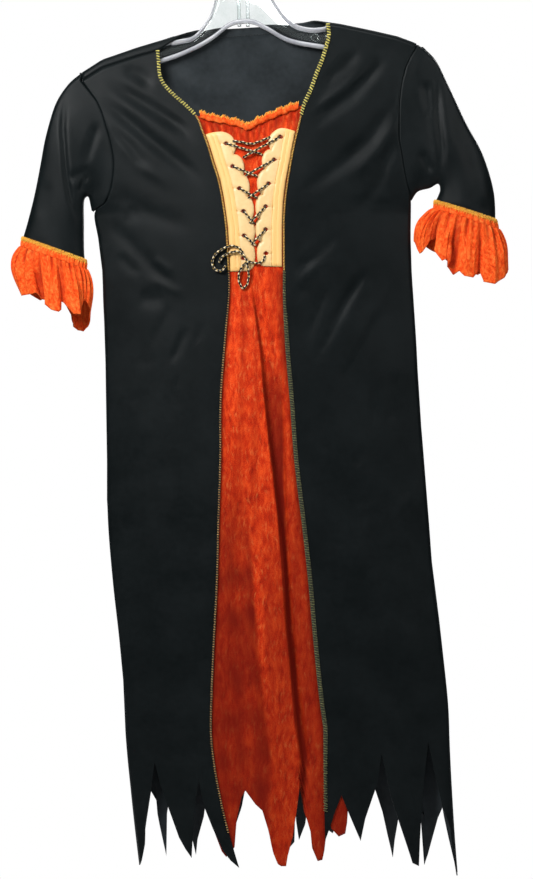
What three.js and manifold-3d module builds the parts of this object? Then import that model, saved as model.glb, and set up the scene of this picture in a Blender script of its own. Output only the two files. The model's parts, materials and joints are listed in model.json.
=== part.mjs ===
// A child's witch costume on a clear plastic hanger, in millimetres, +Z up, front facing -Y.
// The origin is the inside top of the hanger's hook, where a rail carries the costume.
import * as THREE from "three";
import Module from "manifold-3d";
import { mergeVertices } from "three/addons/utils/BufferGeometryUtils.js";

const wasm = await Module();
wasm.setup();

// Driving dimensions
const CLOTH = 1.2;              // wall of the knit and of the velvet
const SATIN = 1.4;              // wall of the lacing panels, two layers and their stitching
const TRIM = 1.0;               // wall of the serged edging
const SEAM_GAP = 0.3;           // between pieces that are sewn together
const UNDERLAP_GAP = 0.6;       // between the velvet and the black front that laps over it
const UNDERLAP = 7;             // how far the velvet runs on behind each black front
const FOLD_RADIUS = 6.2;        // outside of the cloth where it turns over the hanger's rim
const DEPTH_SLOPE = 0.1;        // how fast the cloth leaves the hanger's rim, going down
const EYELET_RADIUS = 2.2;
const LACE_RADIUS = 1.3;
const HOOK_ROD = 7.5;
const HOOK_INNER_RADIUS = 19;
const RIM_HALF = 4;             // half the width of the hanger's flange, front to back
const RIM_HEIGHT = 4;
const WEB_HALF = 1.3;

// Small helpers
const clamp = (value, low, high) => Math.min(Math.max(value, low), high);
const mix = (a, b, share) => a + (b - a) * share;
const smooth = (low, high, value) => {
  const share = clamp((value - low) / (high - low), 0, 1);
  return share * share * (3 - 2 * share);
};
const steps = (count, from = 0, to = 1) =>
  Array.from({ length: count + 1 }, (_, index) => mix(from, to, index / count));

// Reads a table whose first column is the key, by straight lines between its rows
function lookUp(table, key) {
  const rising = table[table.length - 1][0] > table[0][0];
  let row = 0;
  while (row < table.length - 2 && (rising ? key > table[row + 1][0] : key < table[row + 1][0])) row += 1;
  const share = clamp((key - table[row][0]) / (table[row + 1][0] - table[row][0]), 0, 1);
  return table[row].map((value, column) => mix(value, table[row + 1][column], share));
}

// Reads a table by its place from 0 to 1, on a smooth curve through its rows
function along(table, place) {
  const at = clamp(place, 0, 1) * (table.length - 1);
  const row = Math.min(Math.floor(at), table.length - 2);
  const t = at - row;
  const pick = (index, column) => table[clamp(index, 0, table.length - 1)][column];
  return table[row].map((_, column) => {
    const [a, b, c, d] = [row - 1, row, row + 1, row + 2].map((index) => pick(index, column));
    return b + 0.5 * t * (c - a + t * (2 * a - 5 * b + 4 * c - d + t * (3 * (b - c) + d - a)));
  });
}

// Outline of the hung garment, as seen from the front
const SHOULDER_RIDGE = [        // x, z: top of the cloth over the hanger, and the hanger between
  [-178, -176], [-161, -161], [-140, -147.5], [-104, -135], [-67, -124], [-47, -118], [-32, -110],
  [-11, -102], [26, -98], [52, -101], [73, -105], [96, -108], [110, -110], [144, -117],
  [170, -123], [189, -130], [192, -132], [210, -148],
];
const SIDES = [                 // z, left edge, right edge, sleeves included above the armpits
  [-159, -200, 251], [-190, -197, 244], [-232, -190, 234], [-264, -178, 221], [-290, -163, 202],
  [-300, -155, 190], [-309, -148, 184], [-337, -144, 184], [-369, -140, 185], [-421, -138, 188],
  [-484, -136, 192], [-547, -135, 196], [-610, -135, 201], [-673, -131, 206], [-736, -124, 214],
  [-799, -118, 221], [-862, -115, 225], [-925, -111, 228], [-1009, -103, 234],
];
const HALF_DEPTH = [            // z, half the garment's depth at its middle
  [-100, 14], [-200, 16], [-300, 19], [-500, 23], [-800, 27], [-1010, 30],
];
const ARMHOLE_AND_SIDE = [      // z, left edge and right edge of the back panel
  [-132, -161, 190], [-145, -161, 184], [-156, -161, 179], [-170, -161, 175], [-183, -152, 173],
  [-193, -145, 172], [-205, -140, 172], [-219, -136, 172], [-233, -132, 172], [-247, -129, 175],
  [-260, -128, 177], [-273, -129, 179], [-287, -132, 182], [-299, -137, 184], [-309, -148, 184],
  [-337, -144, 184], [-369, -140, 185], [-421, -138, 188], [-484, -136, 192], [-547, -135, 196],
  [-610, -135, 201], [-673, -131, 206], [-736, -124, 214], [-799, -118, 221], [-867, -115, 225],
  [-925, -111, 228], [-1009, -103, 234],
];

// Each row runs across a black front: outer x, outer z, inner x, inner z.
// The outer end follows shoulder tip, armhole and side, the inner end neckline and front edge.
const LEFT_FRONT = [
  [-161, -170, -80, -139], [-152, -183, -79, -150], [-145, -193, -78, -163], [-140, -205, -74, -173],
  [-136, -219, -64, -184], [-132, -233, -52, -195], [-129, -247, -40, -208], [-128, -260, -34, -223],
  [-129, -273, -28, -239], [-132, -287, -23, -256], [-137, -299, -17, -275], [-148, -309, -13, -295],
  [-144, -337, -9, -324], [-140, -369, -7, -358], [-139, -400, -8, -392], [-137, -447, -12, -442],
  [-136, -505, -16, -505], [-135, -568, -19, -568], [-134, -631, -21, -631], [-129, -694, -23, -694],
  [-122, -757, -25, -757], [-116, -820, -26, -820], [-115, -867, -25, -867],
];
const RIGHT_FRONT = [
  [190, -134, 95, -111], [184, -145, 96, -123], [179, -156, 93, -135], [175, -171, 89, -148],
  [173, -185, 83, -163], [172, -201, 77, -180], [172, -216, 70, -196], [172, -232, 66, -216],
  [175, -248, 61, -237], [178, -266, 56, -264], [181, -280, 52, -290], [184, -296, 50, -316],
  [184, -337, 50, -342], [185, -369, 50, -369], [187, -400, 52, -400], [190, -447, 55, -447],
  [193, -505, 60, -505], [198, -568, 65, -568], [203, -631, 71, -631], [208, -694, 77, -694],
  [216, -757, 84, -757], [223, -820, 91, -820], [225, -867, 97, -867],
];

// Hem points of each panel: place across, x, z
const LEFT_HEM = [
  [0, -101, -992], [0.25, -85, -883], [0.62, -45, -985], [0.75, -38, -904], [1, 5, -992],
];
const RIGHT_HEM = [
  [0, 234, -1005], [0.19, 200, -865.5], [0.32, 195, -994], [0.56, 153, -875], [0.74, 131, -965],
  [0.88, 111, -918], [1, 94, -965],
];
const BACK_HEM = [
  [0, -100, -990], [0.04, -89, -915], [0.09, -73, -985], [0.13, -67, -899], [0.19, -40, -986],
  [0.24, -30, -915], [0.31, -8, -967], [0.37, 12, -909], [0.47, 55, -981], [0.51, 63, -925],
  [0.54, 68, -971], [0.57, 77, -941], [0.64, 104, -962], [0.69, 122, -915], [0.74, 143, -915],
  [0.81, 165, -988], [0.85, 172, -915], [0.9, 197, -995], [0.95, 219, -930], [1, 234, -999],
];
const VELVET_HEM = [
  [0, -30, -915], [0.1, -10, -984], [0.16, -6, -938], [0.22, 0, -970], [0.3, 11, -913.5],
  [0.42, 28, -932], [0.47, 36, -961], [0.52, 43, -988], [0.6, 54, -991], [0.67, 61, -941], [0.71, 67, -912.5],
  [0.77, 79, -970], [0.82, 87, -986], [0.87, 93, -963], [0.9, 98, -925], [0.94, 108, -960],
  [0.97, 116, -956], [1, 114, -920],
];
const VELVET_TOP = [            // x, z of the gathered neckline edge
  [-47, -206], [-38, -208], [-23, -212], [-11, -214], [7, -218], [11, -222], [28, -213], [52, -203],
  [69, -197], [77, -195],
];

// Creases of the black fronts: from x, z to x, z, half width, depth (below 0 a ridge)
const CREASES = [
  [-139, -172, -50, -225, 9, 3.0], [-145, -184, -34, -279, 9, 3.2], [-121, -155, -84, -176, 8, 2.2],
  [-135, -218, -91, -271, 10, 2.4], [-138, -314, -62, -390, 12, 3.6], [-120, -300, -70, -340, 9, -2.0],
  [-69, -447, -47, -484, 8, 2.0], [133, -142, 90, -176, 8, 2.6], [161, -150, 82, -214, 9, 3.6],
  [170, -185, 72, -286, 12, 3.2], [169, -221, 110, -329, 10, 2.2], [141, -296, 66, -368, 10, 2.6],
  [139, -364, 97, -432, 9, 2.4], [168, -330, 120, -470, 11, 1.8],
];

// Depth of one crease at x, z: full along its middle, gone at its ends and sides
function creaseDepth([x0, z0, x1, z1, halfWidth, depth], x, z) {
  const length = Math.hypot(x1 - x0, z1 - z0);
  const forward = ((x - x0) * (x1 - x0) + (z - z0) * (z1 - z0)) / length;
  const aside = ((x - x0) * (z1 - z0) - (z - z0) * (x1 - x0)) / length;
  const taper = smooth(0, 0.3 * length, forward) * smooth(length, 0.6 * length, forward);
  return depth * taper * Math.exp(-((aside / halfWidth) ** 2));
}

const ridgeAt = (x) => lookUp(SHOULDER_RIDGE, x)[1];

// Half the garment's depth at x, z: it rounds over the rim, and closes at the side seams
function halfDepth(x, z) {
  const under = Math.max(ridgeAt(x) - z, 0);
  const overRim = under < FOLD_RADIUS
    ? Math.sqrt(FOLD_RADIUS ** 2 - (FOLD_RADIUS - under) ** 2)
    : FOLD_RADIUS + DEPTH_SLOPE * (under - FOLD_RADIUS);
  const [, left, right] = lookUp(SIDES, z);
  const across = clamp((2 * x - left - right) / (right - left), -1, 1);
  const middle = lookUp(HALF_DEPTH, z)[1];
  const lens = CLOTH + SEAM_GAP / 2 + 0.03 + middle * (1 - across * across) ** 0.75;
  return -Math.log(Math.exp(-overRim) + Math.exp(-lens));
}

// A point of the cloth's outside and its outward direction; side is -1 in front and 1 behind
function clothPoint(x, z, side, relief = () => 0) {
  const surface = (px, pz) => halfDepth(px, pz) + relief(px, pz);
  const under = ridgeAt(x) - z;
  const probe = 0.5;
  let normal;
  if (under < FOLD_RADIUS) {
    const turn = Math.acos(clamp(1 - under / FOLD_RADIUS, -1, 1));
    normal = new THREE.Vector3(0, side * Math.sin(turn), Math.cos(turn));
  } else {
    const slopeX = (surface(x + probe, z) - surface(x - probe, z)) / (2 * probe);
    const slopeZ = (surface(x, z + probe) - surface(x, z - probe)) / (2 * probe);
    normal = new THREE.Vector3(-slopeX, side, -slopeZ).normalize();
  }
  return { point: new THREE.Vector3(x, side * surface(x, z), z), normal };
}

const offset = ({ point, normal }, distance) => point.clone().addScaledVector(normal, distance);

// A closed wall from rows of outer points and a matching grid of inner points
function shell(outer, inner, closedAcross) {
  const rows = outer.length;
  const columns = outer[0].length;
  const positions = [...outer.flat(), ...inner.flat()].flatMap((point) => point.toArray());
  const outside = (row, column) => row * columns + (column % columns);
  const inside = (row, column) => rows * columns + outside(row, column);
  const faces = [];
  const quad = (a, b, c, d) => faces.push(a, b, c, a, c, d);
  const spans = closedAcross ? columns : columns - 1;
  for (let row = 0; row < rows - 1; row += 1) {
    for (let column = 0; column < spans; column += 1) {
      quad(outside(row, column), outside(row + 1, column), outside(row + 1, column + 1),
        outside(row, column + 1));
      quad(inside(row, column), inside(row, column + 1), inside(row + 1, column + 1),
        inside(row + 1, column));
    }
  }
  for (let column = 0; column < spans; column += 1) {
    quad(outside(0, column), outside(0, column + 1), inside(0, column + 1), inside(0, column));
    quad(outside(rows - 1, column + 1), outside(rows - 1, column), inside(rows - 1, column),
      inside(rows - 1, column + 1));
  }
  if (!closedAcross) {
    for (let row = 0; row < rows - 1; row += 1) {
      quad(outside(row + 1, 0), outside(row, 0), inside(row, 0), inside(row + 1, 0));
      quad(outside(row, columns - 1), outside(row + 1, columns - 1), inside(row + 1, columns - 1),
        inside(row, columns - 1));
    }
  }
  return facingOut(positions, faces);
}

// A geometry whose faces point out, whichever way its grid was wound
function facingOut(positions, faces) {
  const corner = (index) => new THREE.Vector3().fromArray(positions, index * 3);
  let volume = 0;
  for (let face = 0; face < faces.length; face += 3) {
    const [a, b, c] = [corner(faces[face]), corner(faces[face + 1]), corner(faces[face + 2])];
    volume += a.dot(b.cross(c));
  }
  const wound = volume > 0 ? faces : faces.map((_, index) => faces[index - (index % 3) + 2 - (index % 3)]);
  const geometry = new THREE.BufferGeometry();
  geometry.setAttribute("position", new THREE.Float32BufferAttribute(positions, 3));
  geometry.setIndex(wound);
  return geometry;
}

// A wall from a grid of { point, normal }: the outside stands off by lift, the inside is wall below
function clothWall(grid, wall, { lift = 0, closedAcross = false } = {}) {
  const outer = grid.map((row) => row.map((place) => offset(place, lift)));
  const inner = grid.map((row) => row.map((place) => offset(place, lift - wall)));
  return shell(outer, inner, closedAcross);
}

// Booleans
function toSolid(geometry) {
  const bare = new THREE.BufferGeometry();
  bare.setAttribute("position", geometry.getAttribute("position"));
  if (geometry.index) bare.setIndex(geometry.index);
  const merged = mergeVertices(bare, 1e-4);
  return new wasm.Manifold(new wasm.Mesh({
    numProp: 3,
    vertProperties: new Float32Array(merged.getAttribute("position").array),
    triVerts: new Uint32Array(merged.index.array),
  }));
}

function fromSolid(solid) {
  const mesh = solid.getMesh();
  const geometry = new THREE.BufferGeometry();
  geometry.setAttribute("position", new THREE.Float32BufferAttribute(mesh.vertProperties, 3));
  geometry.setIndex(new THREE.Uint32BufferAttribute(mesh.triVerts, 1));
  return geometry;
}

const join = (geometries) => fromSolid(geometries.map(toSolid).reduce((sum, next) => sum.add(next)));
const cut = (body, tools) =>
  fromSolid(tools.map(toSolid).reduce((rest, tool) => rest.subtract(tool), toSolid(body)));

// Columns across a panel: every hem point, and others between them no wider than the given share
function columnsFor(hem, widest) {
  const places = [0];
  for (let index = 1; index < hem.length; index += 1) {
    const [from, to] = [hem[index - 1][0], hem[index][0]];
    const pieces = Math.ceil((to - from) / widest - 1e-6);
    places.push(...steps(pieces, from, to).slice(1));
  }
  return places;
}

// A black front: rows between its two edges, then three rows down to its pointed hem
const FRONT_STOPS = [...steps(12, 0, 12), 12.5, 13, 13.5, 14, 14.5, ...steps(7, 15, 22)];
const HEM_ROWS = [0.35, 0.7, 1];
const HEM_SWING = 1.3;          // how late the pointed tabs turn from the panel's own lines
const CREASE_FADE = [10, 40];       // under the ridge, where the creases start and are full
function frontPlaces(table, hem) {
  const columns = columnsFor(hem, 0.1);
  const place = (x, z, across) => {
    const fade = smooth(0, 0.16, 1 - across) * smooth(0, 0.08, across);
    const relief = (px, pz) => -fade * smooth(...CREASE_FADE, ridgeAt(px) - pz)
      * CREASES.reduce((sum, crease) => sum + creaseDepth(crease, px, pz), 0);
    return clothPoint(x, z, -1, relief);
  };
  const body = FRONT_STOPS.map((stop) => {
    const [outerX, outerZ, innerX, innerZ] = along(table, stop / (table.length - 1));
    const drop = stop === 0 ? SEAM_GAP : 0;
    return columns.map((across) =>
      place(mix(outerX, innerX, across), mix(outerZ, innerZ, across) - drop, across));
  });
  const [lastX, lastZ, lastInnerX, lastInnerZ] = table[table.length - 1];
  const points = HEM_ROWS.map((down) => columns.map((across) => {
    const [, hemX, hemZ] = lookUp(hem, across);
    const x = mix(mix(lastX, lastInnerX, across), hemX, down ** HEM_SWING);
    return place(x, mix(mix(lastZ, lastInnerZ, across), hemZ, down), across);
  }));
  return [...body, ...points];
}
const leftFrontPlaces = frontPlaces(LEFT_FRONT, LEFT_HEM);
const rightFrontPlaces = frontPlaces(RIGHT_FRONT, RIGHT_HEM);

// Where a point this far along the cloth, over the rim from the ridge, lies: below 0 is in front
function overRim(x, run) {
  const quarter = FOLD_RADIUS * Math.PI / 2;
  const side = run < 0 ? -1 : 1;
  const reach = Math.abs(run);
  const under = reach < quarter
    ? FOLD_RADIUS * (1 - Math.cos(reach / FOLD_RADIUS))
    : FOLD_RADIUS + reach - quarter;
  return clothPoint(x, ridgeAt(x) - under, side);
}

// How far along the cloth the shoulder seam, or the back neckline, lies from the ridge
const SEAM_RUN = [              // x, run over the rim: in front at the shoulders, behind at the neck
  [-161, -12.3], [-80, -14.2], [-70, -10], [-60, -5], [-50, 0], [-40, 5], [-32, 9.9], [-11, 16.5],
  [26, 18.2], [52, 12.5], [73, 6.6], [80, 3], [88, -1.5], [95, -6.2], [190, -6.8],
];
const NECK_COLUMNS = [0.23, 0.258, 0.286, 0.34, 0.683, 0.705, 0.729];
const YOKE_RUN = 26;
const YOKE_ROWS = [0, 0.14, 0.27, 0.39, 0.52, 0.68, 1];
const FIRST_DROP = 12;          // at least this far from row to row, where the yoke's end slants
const SETTLE_ROWS = 4;          // after so many rows the rows lie level
const SETTLE_RISE = 40;
const BACK_ROW_LEVELS = [-215, -250, -285, -320, -370, -430, -500, -580, -660, -740, -810, -867];
function backPlaces() {
  const [, topLeft, topRight] = ARMHOLE_AND_SIDE[0];
  const columns = [...columnsFor(BACK_HEM, 0.06), ...NECK_COLUMNS].sort((a, b) => a - b);
  const xAt = (across, z) => {
    const [, left, right] = lookUp(ARMHOLE_AND_SIDE, z);
    return mix(left, right, across);
  };
  const yoke = YOKE_ROWS.map((down) => columns.map((across) => {
    const topX = mix(topLeft, topRight, across);
    const run = mix(lookUp(SEAM_RUN, topX)[1], YOKE_RUN, down);
    const level = overRim(topX, run).point.z;
    return overRim(xAt(across, level), run);
  }));
  const body = BACK_ROW_LEVELS.map((level, row) => columns.map((across) => {
    const start = yoke[yoke.length - 1][columns.indexOf(across)].point.z;
    const settle = clamp((row + 1) / SETTLE_ROWS, 0, 1);
    const slanting = Math.min(start - FIRST_DROP * (row + 1), level + SETTLE_RISE * (1 - settle));
    const z = mix(slanting, level, settle);
    return clothPoint(xAt(across, z), z, 1);
  }));
  const lastLevel = BACK_ROW_LEVELS[BACK_ROW_LEVELS.length - 1];
  const points = HEM_ROWS.map((down) => columns.map((across) => {
    const [, hemX, hemZ] = lookUp(BACK_HEM, across);
    return clothPoint(mix(xAt(across, lastLevel), hemX, down), mix(lastLevel, hemZ, down), 1);
  }));
  return [...yoke, ...body, ...points];
}

// The velvet centre front: it runs on behind both black fronts, with one long fold down its middle
const FRONT_EDGES = [           // z, inner edge of the left front, inner edge of the right front
  [-195, -52, 71], [-208, -40, 68], [-223, -34, 64], [-239, -28, 61], [-256, -23, 58], [-275, -17, 54],
  [-295, -13, 51.5], [-324, -9, 50], [-358, -7, 50], [-392, -8, 51], [-442, -12, 54.5],
  [-505, -16, 60], [-568, -19, 65], [-631, -21, 71], [-694, -23, 77], [-757, -25, 84],
  [-820, -26, 91], [-867, -25, 97],
];
const VELVET_FOLD = [           // z, x of the fold's crest, its half width, its height, groove depth
  [-372, 14, 7, 0, 0], [-400, 17, 7, 3, 2], [-450, 25, 8, 5, 4], [-540, 33, 10, 6, 5],
  [-630, 40, 11, 6, 5], [-710, 45, 12, 6, 5], [-790, 48, 14, 6, 5], [-860, 48, 16, 6, 4],
  [-1010, 48, 18, 6, 3],
];
const VELVET_ROW_LEVELS = [-245, -275, -310, -345, -375, -400, -440, -490, -550, -620, -700, -780, -867];
const FLAT_MARGIN = 12;         // beside each black front, where the velvet has no fold
const GROOVE_PLACE = 1.6;       // of the fold's half width, from its crest
const GROOVE_WIDTH = 0.7;
const velvetSet = -(CLOTH + UNDERLAP_GAP);
function velvetRelief(x, z) {
  const [, left, right] = lookUp(FRONT_EDGES, z);
  const [, crest, halfWidth, height, groove] = lookUp(VELVET_FOLD, z);
  const inside = smooth(left, left + FLAT_MARGIN, x) * smooth(right, right - FLAT_MARGIN, x);
  const fold = height * Math.exp(-(((x - crest) / halfWidth) ** 2));
  const fromGroove = x - crest - GROOVE_PLACE * halfWidth;
  const hollow = groove * Math.exp(-((fromGroove / (GROOVE_WIDTH * halfWidth)) ** 2));
  return inside * (fold - hollow);
}
function velvetPlaces() {
  const columns = columnsFor(VELVET_HEM, 0.07);
  const edges = (z) => {
    const [, left, right] = lookUp(FRONT_EDGES, z);
    return [left - UNDERLAP, right + UNDERLAP];
  };
  const place = (x, z) => clothPoint(x, z, -1, (px, pz) => velvetSet + velvetRelief(px, pz));
  const across = (z, share) => mix(...edges(z), share);
  const top = columns.map((share) => {
    const z = lookUp(VELVET_TOP, across(-208, share))[1];
    return place(across(z, share), z);
  });
  const body = VELVET_ROW_LEVELS.map((z) => columns.map((share) => place(across(z, share), z)));
  const lastLevel = VELVET_ROW_LEVELS[VELVET_ROW_LEVELS.length - 1];
  const points = HEM_ROWS.map((down) => columns.map((share) => {
    const [, hemX, hemZ] = lookUp(VELVET_HEM, share);
    return place(mix(across(lastLevel, share), hemX, down), mix(lastLevel, hemZ, down));
  }));
  return [top, ...body, ...points];
}

// The gathered, serged top edge of the velvet
const HEADING_HEIGHT = 5;
const HEADING_GAP = 0.8;
const HEADING_WAVES = 9;
const HEADING_WAVE_HEIGHT = 1.1;
const HEADING_LIFT = 0.4;
const HEADING_FROM = -37;
const HEADING_TO = 66;
function headingPlaces() {
  const columns = steps(HEADING_WAVES * 5, HEADING_FROM, HEADING_TO);
  return [HEADING_HEIGHT, HEADING_GAP].map((above) => columns.map((x) => {
    const share = (x - HEADING_FROM) / (HEADING_TO - HEADING_FROM);
    const wave = HEADING_WAVE_HEIGHT * Math.sin(2 * Math.PI * HEADING_WAVES * share);
    const z = lookUp(VELVET_TOP, x)[1] + above;
    return clothPoint(x, z, -1, () => velvetSet + HEADING_LIFT + wave);
  }));
}

// The two scalloped lacing panels, which lie on the velvet
const SCALLOPS = [              // z and inner edge of the left panel, then of the right one
  [-226, -12, -222, 42], [-232, -3, -228, 37], [-241, 0.7, -236, 34.5], [-248, -1.6, -243, 36.5],
  [-262, 9, -255, 28], [-270, 8, -264, 31], [-283, 14.5, -278, 22.5], [-292, 12, -290, 27.5],
  [-306, 19.5, -303, 21], [-318, 15.5, -316, 24.5], [-329, 20.7, -327, 21], [-341, 16.5, -340, 26.8],
  [-354, 20.7, -351, 22.5], [-366, 19, -361, 25], [-371, 8, -365, 26.8],
];
const PANEL_INSET = 1.2;        // from the black front's edge to the panel's outer edge
const LEFT_EYELETS = [          // x, z
  [-9.6, -237], [-2.7, -261], [4.3, -284], [8.5, -308], [9.1, -333.5], [8.4, -357],
];
const RIGHT_EYELETS = [
  [46.7, -230], [40.4, -254], [34.8, -279], [31.7, -303], [31.7, -327], [32, -352],
];
const PUNCH_LENGTH = 12;
const PUNCH_SIDES = 10;
const panelSet = velvetSet + SEAM_GAP + SATIN;
const panelPoint = (x, z) => clothPoint(x, z, -1, () => panelSet);
function lacingPanel(side) {
  const shares = steps(3);
  const rows = SCALLOPS.map(([leftZ, leftInner, rightZ, rightInner]) => {
    const z = side === "left" ? leftZ : rightZ;
    const [, leftEdge, rightEdge] = lookUp(FRONT_EDGES, z);
    const [from, to] = side === "left"
      ? [leftEdge + PANEL_INSET, leftInner] : [rightInner, rightEdge - PANEL_INSET];
    return shares.map((share) => panelPoint(mix(from, to, share), z));
  });
  const eyelets = side === "left" ? LEFT_EYELETS : RIGHT_EYELETS;
  const punches = eyelets.map(([x, z]) => {
    const punch = new THREE.CylinderGeometry(EYELET_RADIUS, EYELET_RADIUS, PUNCH_LENGTH, PUNCH_SIDES);
    return punch.translate(x, panelPoint(x, z).point.y, z);
  });
  return cut(clothWall(rows, SATIN), punches);
}

// Serged edging: a strip made from a front's own points, moved out
function edging(places, width) {
  const rows = places.map((row) => {
    const edge = row[row.length - 1];
    const next = row[row.length - 2];
    const share = Math.min(width / edge.point.distanceTo(next.point), 0.9);
    const inner = {
      point: edge.point.clone().lerp(next.point, share),
      normal: edge.normal.clone().lerp(next.normal, share).normalize(),
    };
    return [inner, edge];
  });
  return clothWall(rows, TRIM, { lift: SEAM_GAP + TRIM });
}

// Sleeves: rings from the armhole to the cuff. Each row: outer fold x, z, underarm x, z.
const LEFT_SLEEVE = [
  [-165.4, -165, -149, -308], [-178, -176.5, -152.8, -293], [-190.6, -196, -158, -294],
  [-199, -227, -159.6, -302], [-205, -258, -159.6, -316], [-212.6, -295, -159, -337],
  [-223, -335, -158, -359],
];
const RIGHT_SLEEVE = [
  [191.8, -132, 185, -295.5], [210.5, -148, 191.6, -286], [225, -177.5, 204, -282.5],
  [242, -215, 212.6, -278.5], [260, -248, 214.6, -284.6], [271, -285, 212.6, -291],
  [273, -317, 210, -296.5],
];
const LEFT_ARMHOLE = [          // place from shoulder tip to underarm, x, z
  [0, -163, -160.5], [0.07, -163.2, -170.8], [0.15, -153, -183.5], [0.22, -145.5, -193],
  [0.3, -140.5, -205], [0.4, -136.5, -219], [0.49, -132.5, -233], [0.58, -129.5, -247],
  [0.66, -128.5, -260], [0.74, -129.5, -273], [0.83, -132.5, -287], [0.91, -139, -299],
  [0.96, -145, -302.5], [1, -151, -306.5],
];
const RIGHT_ARMHOLE = [
  [0, 191.5, -131], [0.07, 191.5, -134], [0.14, 184.5, -145], [0.21, 179.5, -156],
  [0.29, 175.5, -171], [0.37, 173.5, -185], [0.46, 172.5, -201], [0.55, 172.5, -216],
  [0.64, 172.5, -232], [0.74, 175.5, -248], [0.84, 178.5, -266], [0.93, 181.5, -281],
  [1, 185, -295.5],
];
const SLEEVE_DEPTH = 15;
const SLEEVE_ROWS = 8;
const turnAt = (step, count) => (2 * Math.PI * step) / count;
const evenTurns = (count) => Array.from({ length: count }, (_, step) => turnAt(step, count));

// The turns whose points lie on a table of places, round the front and back again behind
function turnsAt(table) {
  const front = table.map(([across]) => Math.acos(1 - 2 * across));
  return [...front, ...front.slice(1, -1).reverse().map((turn) => 2 * Math.PI - turn)];
}

// A ring of points round a flattened tube: across runs from the outer fold to the inner fold
function ring(turns, outline, depthAt) {
  return turns.map((turn) => {
    const across = (1 - Math.cos(turn)) / 2;
    const [x, z] = outline(across, turn);
    return new THREE.Vector3(x, -Math.sin(turn) * depthAt(across, x, z, turn), z);
  });
}

// Outward directions of a closed tube of rings, from its neighbours; way is 1 or -1
function tubePlaces(rings, way) {
  const rows = rings.length;
  const count = rings[0].length;
  return rings.map((points, row) => points.map((point, step) => {
    const round = rings[row][(step + 1) % count].clone().sub(rings[row][(step + count - 1) % count]);
    const down = rings[Math.min(row + 1, rows - 1)][step].clone().sub(rings[Math.max(row - 1, 0)][step]);
    return { point, normal: round.cross(down).multiplyScalar(way).normalize() };
  }));
}

function sleevePlaces(table, armhole, way) {
  const [startOuterX, startOuterZ, startInnerX, startInnerZ] = table[0];
  const turns = turnsAt(armhole);
  const rings = steps(SLEEVE_ROWS - 1).map((down) => {
    const [outerX, outerZ, innerX, innerZ] = along(table, down);
    const hold = (1 - down) ** 2.5;
    const outline = (across) => {
      const [, armX, armZ] = lookUp(armhole, across);
      const bendX = armX - mix(startOuterX, startInnerX, across);
      const bendZ = armZ - mix(startOuterZ, startInnerZ, across);
      return [mix(outerX, innerX, across) + hold * bendX, mix(outerZ, innerZ, across) + hold * bendZ];
    };
    const free = smooth(0, 0.5, down);
    const depthAt = (across, x, z, turn) => {
      const seam = halfDepth(x, z) / Math.max(Math.abs(Math.sin(turn)), 0.35);
      return mix(Math.min(seam, SLEEVE_DEPTH), SLEEVE_DEPTH, free);
    };
    return ring(turns, outline, depthAt);
  });
  return tubePlaces(rings, way);
}

// Cuffs: a gathered serged band, and a ragged ruffle below it, with the same waves round both
const CUFF_WAVES = 10;
const CUFF_STEPS = 60;
// Each row: outer x, z, inner x, z, half depth, wave height
const LEFT_CUFF = [
  [-223.2, -335.5, -157.8, -359.5, 15, 0], [-226, -345, -156, -369, 16.5, 1.2],
  [-233, -360, -154, -384, 19, 3], [-232, -377, -153.5, -408, 21, 4.5], [-225, -393, -155, -426, 22, 5],
];
const RIGHT_CUFF = [
  [273.2, -317.5, 209.8, -297, 15, 0], [277, -327, 207, -305, 16.5, 1.2],
  [286, -343, 197, -317, 19, 3], [291, -359, 189.5, -332, 21, 4.5], [280, -380, 192, -347, 22, 5],
];
// Each tab of the ragged edge, round from the outer fold: how much of the full drop it has
const TAB_DROPS = [0.92, 1, 0.9, 1.05, 1.12, 1.05, 0.95, 1.08, 0.9, 1];
const NOTCH_DROP = 0.66;
const TAB_OVERHANG = 60;        // how far a tab of twice the full drop would hang lower

function cuffRings(table, rows) {
  return rows.map((row) => {
    const outline = (across, turn) => {
      const place = (turn / (2 * Math.PI)) * CUFF_WAVES;
      const tab = TAB_DROPS[Math.floor(place) % CUFF_WAVES];
      const fromNotch = Math.abs((place % 1) - 0.5) * 2;
      const drop = row.full ? mix(tab, NOTCH_DROP, smooth(0.55, 1, fromNotch)) : 1;
      const [outerX, outerZ, innerX, innerZ] = along(table, clamp(row.at * drop, 0, 1));
      const past = Math.max(row.at * drop - 1, 0) * TAB_OVERHANG;
      return [mix(outerX, innerX, across), mix(outerZ, innerZ, across) - past];
    };
    const [, , , , depth, wave] = along(table, row.at);
    const depthAt = (across, x, z, turn) => depth + wave * Math.cos(CUFF_WAVES * turn)
      / Math.max(Math.abs(Math.sin(turn)), 0.6);
    return ring(evenTurns(CUFF_STEPS), outline, depthAt);
  });
}
const bandPlaces = (table, way) => tubePlaces(cuffRings(table, [{ at: 0 }, { at: 0.23 }]), way);
const RUFFLE_ROWS = [{ at: 0.243 }, { at: 0.45, full: false }, { at: 0.62 }, { at: 1, full: true }];
const rufflePlaces = (table, way) => tubePlaces(cuffRings(table, RUFFLE_ROWS), way);

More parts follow.
